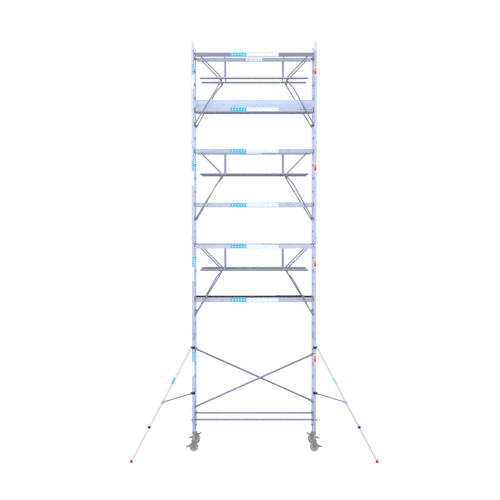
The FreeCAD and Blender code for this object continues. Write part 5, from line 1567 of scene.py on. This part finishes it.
class TOWER_OT_labels(bpy.types.Operator):
    """Plain coloured labels on beams, stiles and stabilisers, without any lettering"""

    bl_idname = "tower.labels"
    bl_label = "Labels"

    def execute(self, context):
        """Build every label."""
        s = sizes()
        for level in LEVELS:
            rail_z = rung_z(PLATFORM_RUNGS[level - 1] + RAIL_RUNGS_UP) - s.beam_drop
            self.banner("guardrail_front_%d" % level, RAIL_FRONT_Y - s.beam_deep / 2, rail_z)
            side_z = rung_z(PLATFORM_RUNGS[level - 1]) + s.side_rise - s.side_high / 2
            face = BAY_Y - s.platform_width / 2
            self.banner("platform_%d" % level, face, side_z)
            if level != 2:
                self.small_print("platform_%d" % level, face, side_z)
            self.back_sticker("guardrail_back_%d" % level, RAIL_BACK_Y - s.beam_deep / 2, rail_z)
        for level in FRAME_LEVELS:
            top = BASE_Z + level * FRAME_HIGH
            self.stile_label(level, "left", -END_X, top)
            self.stile_label(level, "right", END_X, top)
        for side in ("left", "right"):
            self.stabiliser_label(side)
        return {"FINISHED"}

    def plates(self, name, face, z, rows, finish, layer):
        """Thin plates on a face that looks to the front; rows hold x from, x to, height from, to."""
        s = sizes()
        maker = Maker()
        for x1, x2, z1, z2 in rows:
            front = face - s.label_thick * layer
            maker.block((x1, front, z + z1), (x2, face - s.label_thick * (layer - 1) * 0.9, z + z2))
        show(name, maker.mesh("label"), "tower", finish)

    def banner(self, carrier, face, z):
        """A cyan panel with plain, even white squares, then a white panel with pale marks."""
        half = 0.034
        self.plates(carrier + "_label_cyan", face, z, [(-0.485, -0.158, -half, half)], "cyan_vinyl", 1)
        self.plates(carrier + "_label_white", face, z, [(-0.156, 0.497, -half, half)], "white_vinyl", 1)
        side, pitch, first = 0.022, 0.06, -0.4415
        squares = []
        for index in range(5):
            x = first + index * pitch
            squares.append((x - side / 2, x + side / 2, -side / 2, side / 2))
        self.plates(carrier + "_label_blocks", face, z, squares, "white_vinyl", 2)
        marks = []
        for index in range(8):
            x = -0.125 + index * 0.083
            marks.append((x - 0.011, x + 0.011, -0.016, 0.016))
        self.plates(carrier + "_label_marks", face, z, marks, "pale_vinyl", 2)

    def small_print(self, carrier, face, z):
        """A short row of grey marks at the right end of a beam."""
        marks = []
        for index in range(11):
            x = 0.88 + index * 0.029
            marks.append((x, x + 0.016, -0.013 + 0.004 * (index % 2), 0.011 - 0.005 * (index % 3 == 0)))
        self.plates(carrier + "_small_marks", face, z, marks, "grey_print", 1)

    def back_sticker(self, carrier, face, z):
        """A white sticker with two dark spots between pale marks, on the inner face at the back."""
        self.plates(carrier + "_sticker", face, z, [(-0.17, 0.17, -0.03, 0.03)], "white_vinyl", 1)
        spots = [(-0.135, -0.115, -0.012, 0.012), (0.115, 0.135, -0.012, 0.012)]
        self.plates(carrier + "_sticker_spots", face, z, spots, "grey_print", 2)
        marks = [(-0.085, -0.05, -0.01, 0.01), (-0.02, 0.02, -0.012, 0.012), (0.05, 0.085, -0.01, 0.01)]
        self.plates(carrier + "_sticker_marks", face, z, marks, "pale_vinyl", 2)

    def wrap(self, name, x, y, low, high, spread_deg, finish, layer=1, body="tower"):
        """A label wrapped round the front of an upright tube."""
        s = sizes()
        inner = STILE_R + s.label_thick * (layer - 1)
        outer = STILE_R + s.label_thick * layer
        first, last = -90 - spread_deg / 2, -90 + spread_deg / 2
        outline = arc(outer, first, last, 12) + arc(inner, last, first, 12)
        maker = Maker().prism(outline, "Z", low, high, (x, y, 0))
        show(name, maker.mesh("wrap"), body, finish)

    def stile_label(self, level, side, x, top):
        """The label on the front stile of one frame."""
        name = "frame_%s_%d_label" % (side, level)
        if side == "left":
            self.wrap(name + "_panel", x, FRONT_Y, top - 0.508, top - 0.305, 110, "cyan_vinyl")
            self.wrap(name + "_pale", x, FRONT_Y, top - 0.80, top - 0.512, 90, "white_vinyl")
            for index, drop in enumerate((0.33, 0.375, 0.42, 0.465)):
                self.wrap("%s_block_%d" % (name, index + 1), x, FRONT_Y, top - drop - 0.018, top - drop, 40,
                          "white_vinyl", 2)
            return
        self.wrap(name + "_ground", x, FRONT_Y, top - 0.53, top - 0.31, 120, "white_vinyl")
        self.wrap(name + "_spot", x, FRONT_Y, top - 0.35, top - 0.32, 80, "red_vinyl", 2)
        self.wrap(name + "_orange", x, FRONT_Y, top - 0.435, top - 0.375, 96, "orange_vinyl", 2)
        self.wrap(name + "_red", x, FRONT_Y, top - 0.515, top - 0.437, 96, "red_vinyl", 2)

    def stabiliser_label(self, side):
        """A cyan label wrapped round the upper half of a stabiliser tube."""
        x, turn = (-END_X, -90 - STAB_TURN) if side == "left" else (END_X, STAB_TURN - 90)
        start = TOWER_OT_stabilisers.on_tube(0.276)
        end = TOWER_OT_stabilisers.on_tube(0.334)
        thick = sizes().label_thick
        span = (end - start).length
        profile = [(0, STAB_R + thick), (span, STAB_R + thick), (span, STAB_R), (0, STAB_R)]
        maker = Maker().lathe(start, end - start, profile, 32, closed=True)
        show("stabiliser_%s_label" % side, maker.mesh("label", x, FRONT_Y, 0, turn), "stabiliser_" + side,
             "cyan_vinyl" if side == "left" else "pale_vinyl")


# --- Studio ---


class TOWER_OT_studio(bpy.types.Operator):
    """Pale floor, soft lights, surroundings and camera"""

    bl_idname = "tower.studio"
    bl_label = "Studio"

    def execute(self, context):
        """Set the stage."""
        scene = context.scene
        scene.view_settings.view_transform = "Standard"
        self.floor()
        self.surroundings(scene)
        self.lights()
        self.camera(scene)
        return {"FINISHED"}

    def floor(self):
        """A wide matt floor under the wheels."""
        side = 150
        mesh = Maker().block((-side, -side, -0.02), (side, side, 0)).mesh("floor")
        material, tree, shader = start_material("matt_studio_floor")
        cloud = pattern(tree, (3.0, 3.0, 3.0), detail=2)
        tree.links.new(tinted(tree, finishes().floor, cloud, 0.004), shader.inputs["Base Color"])
        shader.inputs["Roughness"].default_value = 0.95
        shader.inputs["Specular IOR Level"].default_value = 0.0
        shader.inputs["Emission Color"].default_value = (1, 1, 1, 1)
        shader.inputs["Emission Strength"].default_value = 0.4
        mesh.materials.append(material)
        obj = bpy.data.objects.new("studio_floor", mesh)
        bpy.context.scene.collection.objects.link(obj)
        obj.visible_glossy = False

    def surroundings(self, scene):
        """White behind the object, and a soft gradient in what lights it."""
        world = bpy.data.worlds.new("studio")
        scene.world = world
        world.use_nodes = True
        tree = world.node_tree
        tree.nodes.clear()
        place = add_node(tree, "ShaderNodeTexCoord")
        parts = add_node(tree, "ShaderNodeSeparateXYZ", {0: place.outputs["Generated"]})
        share = add_node(tree, "ShaderNodeMapRange", {"Value": parts.outputs["Z"], "From Min": -1.0})
        ramp = add_node(tree, "ShaderNodeValToRGB", {"Fac": share.outputs[0]})
        stops = ((0.0, "#70768A"), (0.36, "#7A8094"), (0.46, "#CDD3E4"), (0.5, "#F4F6FC"),
                 (0.53, "#D9DDEB"), (0.6, "#A2A8BB"), (0.75, "#A6ACBD"), (1.0, "#DADFEA"))
        elements = ramp.color_ramp.elements
        while len(elements) < len(stops):
            elements.new(0.5)
        for element, (position, code) in zip(elements, stops):
            element.position = position
            element.color = (*linear(code), 1)
        lit = add_node(tree, "ShaderNodeBackground", {"Color": ramp.outputs[0], "Strength": 1.3})
        seen = add_node(tree, "ShaderNodeBackground", {"Color": (1, 1, 1, 1), "Strength": 1.05})
        ray = add_node(tree, "ShaderNodeLightPath")
        mix = add_node(tree, "ShaderNodeMixShader", {
            0: ray.outputs["Is Camera Ray"], 1: lit.outputs[0], 2: seen.outputs[0]})
        add_node(tree, "ShaderNodeOutputWorld", {0: mix.outputs[0]})

    def lights(self):
        """Large soft boxes round the tower."""
        aim = Vector((0, BAY_Y, CAD_HIGH.z * 0.5))
        for name, place, side, power in (("key", (-9, -12, 12), 8, 420), ("fill", (11, -10, 8), 8, 180),
                                         ("rim", (3, 13, 13), 8, 300), ("top", (0, 0, 17), 9, 420)):
            light = bpy.data.lights.new(name, "AREA")
            light.shape = "SQUARE"
            light.size = side
            light.energy = power
            obj = bpy.data.objects.new("light_" + name, light)
            bpy.context.scene.collection.objects.link(obj)
            obj.location = place
            obj.rotation_mode = "QUATERNION"
            obj.rotation_quaternion = (aim - Vector(place)).to_track_quat("-Z", "Y")

    def camera(self, scene):
        """A camera a little above half height, 23 m in front."""
        data = bpy.data.cameras.new("camera")
        data.sensor_width = 36
        data.lens = 82.07
        data.clip_end = 500
        obj = bpy.data.objects.new("camera", data)
        scene.collection.objects.link(obj)
        obj.location = (-0.048, -23.26, 4.975)
        obj.rotation_euler = (math.radians(90 - 2.017), 0, math.radians(0.089))
        scene.camera = obj


PIECES = (TOWER_OT_end_frames, TOWER_OT_locking_pins, TOWER_OT_base_braces, TOWER_OT_guardrails,
          TOWER_OT_platforms, TOWER_OT_decks, TOWER_OT_hatches, TOWER_OT_toe_boards, TOWER_OT_spindles,
          TOWER_OT_castor_forks, TOWER_OT_castor_wheels, TOWER_OT_brake_pedals, TOWER_OT_stabilisers,
          TOWER_OT_labels, TOWER_OT_studio)


class TOWER_PT_pieces(bpy.types.Panel):
    """Lists the tower's pieces, sizes and finishes"""

    bl_idname = "TOWER_PT_pieces"
    bl_label = "Scaffold tower"
    bl_space_type = "VIEW_3D"
    bl_region_type = "UI"
    bl_category = "Tower"

    def draw(self, context):
        """Draw the buttons, then the sizes and colours."""
        for piece in PIECES:
            self.layout.operator(piece.bl_idname)
        for group in (context.scene.tower_sizes, context.scene.tower_finishes):
            box = self.layout.box()
            for name in group.__annotations__:
                box.prop(group, name)


def register():
    """Register the classes and hang the settings on the scene."""
    for item in (TowerSizes, TowerFinishes, *PIECES, TOWER_PT_pieces):
        bpy.utils.register_class(item)
    bpy.types.Scene.tower_sizes = bpy.props.PointerProperty(type=TowerSizes)
    bpy.types.Scene.tower_finishes = bpy.props.PointerProperty(type=TowerFinishes)


def unregister():
    """Take the settings and the classes away."""
    del bpy.types.Scene.tower_finishes
    del bpy.types.Scene.tower_sizes
    for item in (TOWER_PT_pieces, *reversed(PIECES), TowerFinishes, TowerSizes):
        bpy.utils.unregister_class(item)


def main():
    """Build every piece in order."""
    register()
    for piece in PIECES:
        group, name = piece.bl_idname.split(".")
        getattr(getattr(bpy.ops, group), name)()


if __name__ == "__main__":
    main()
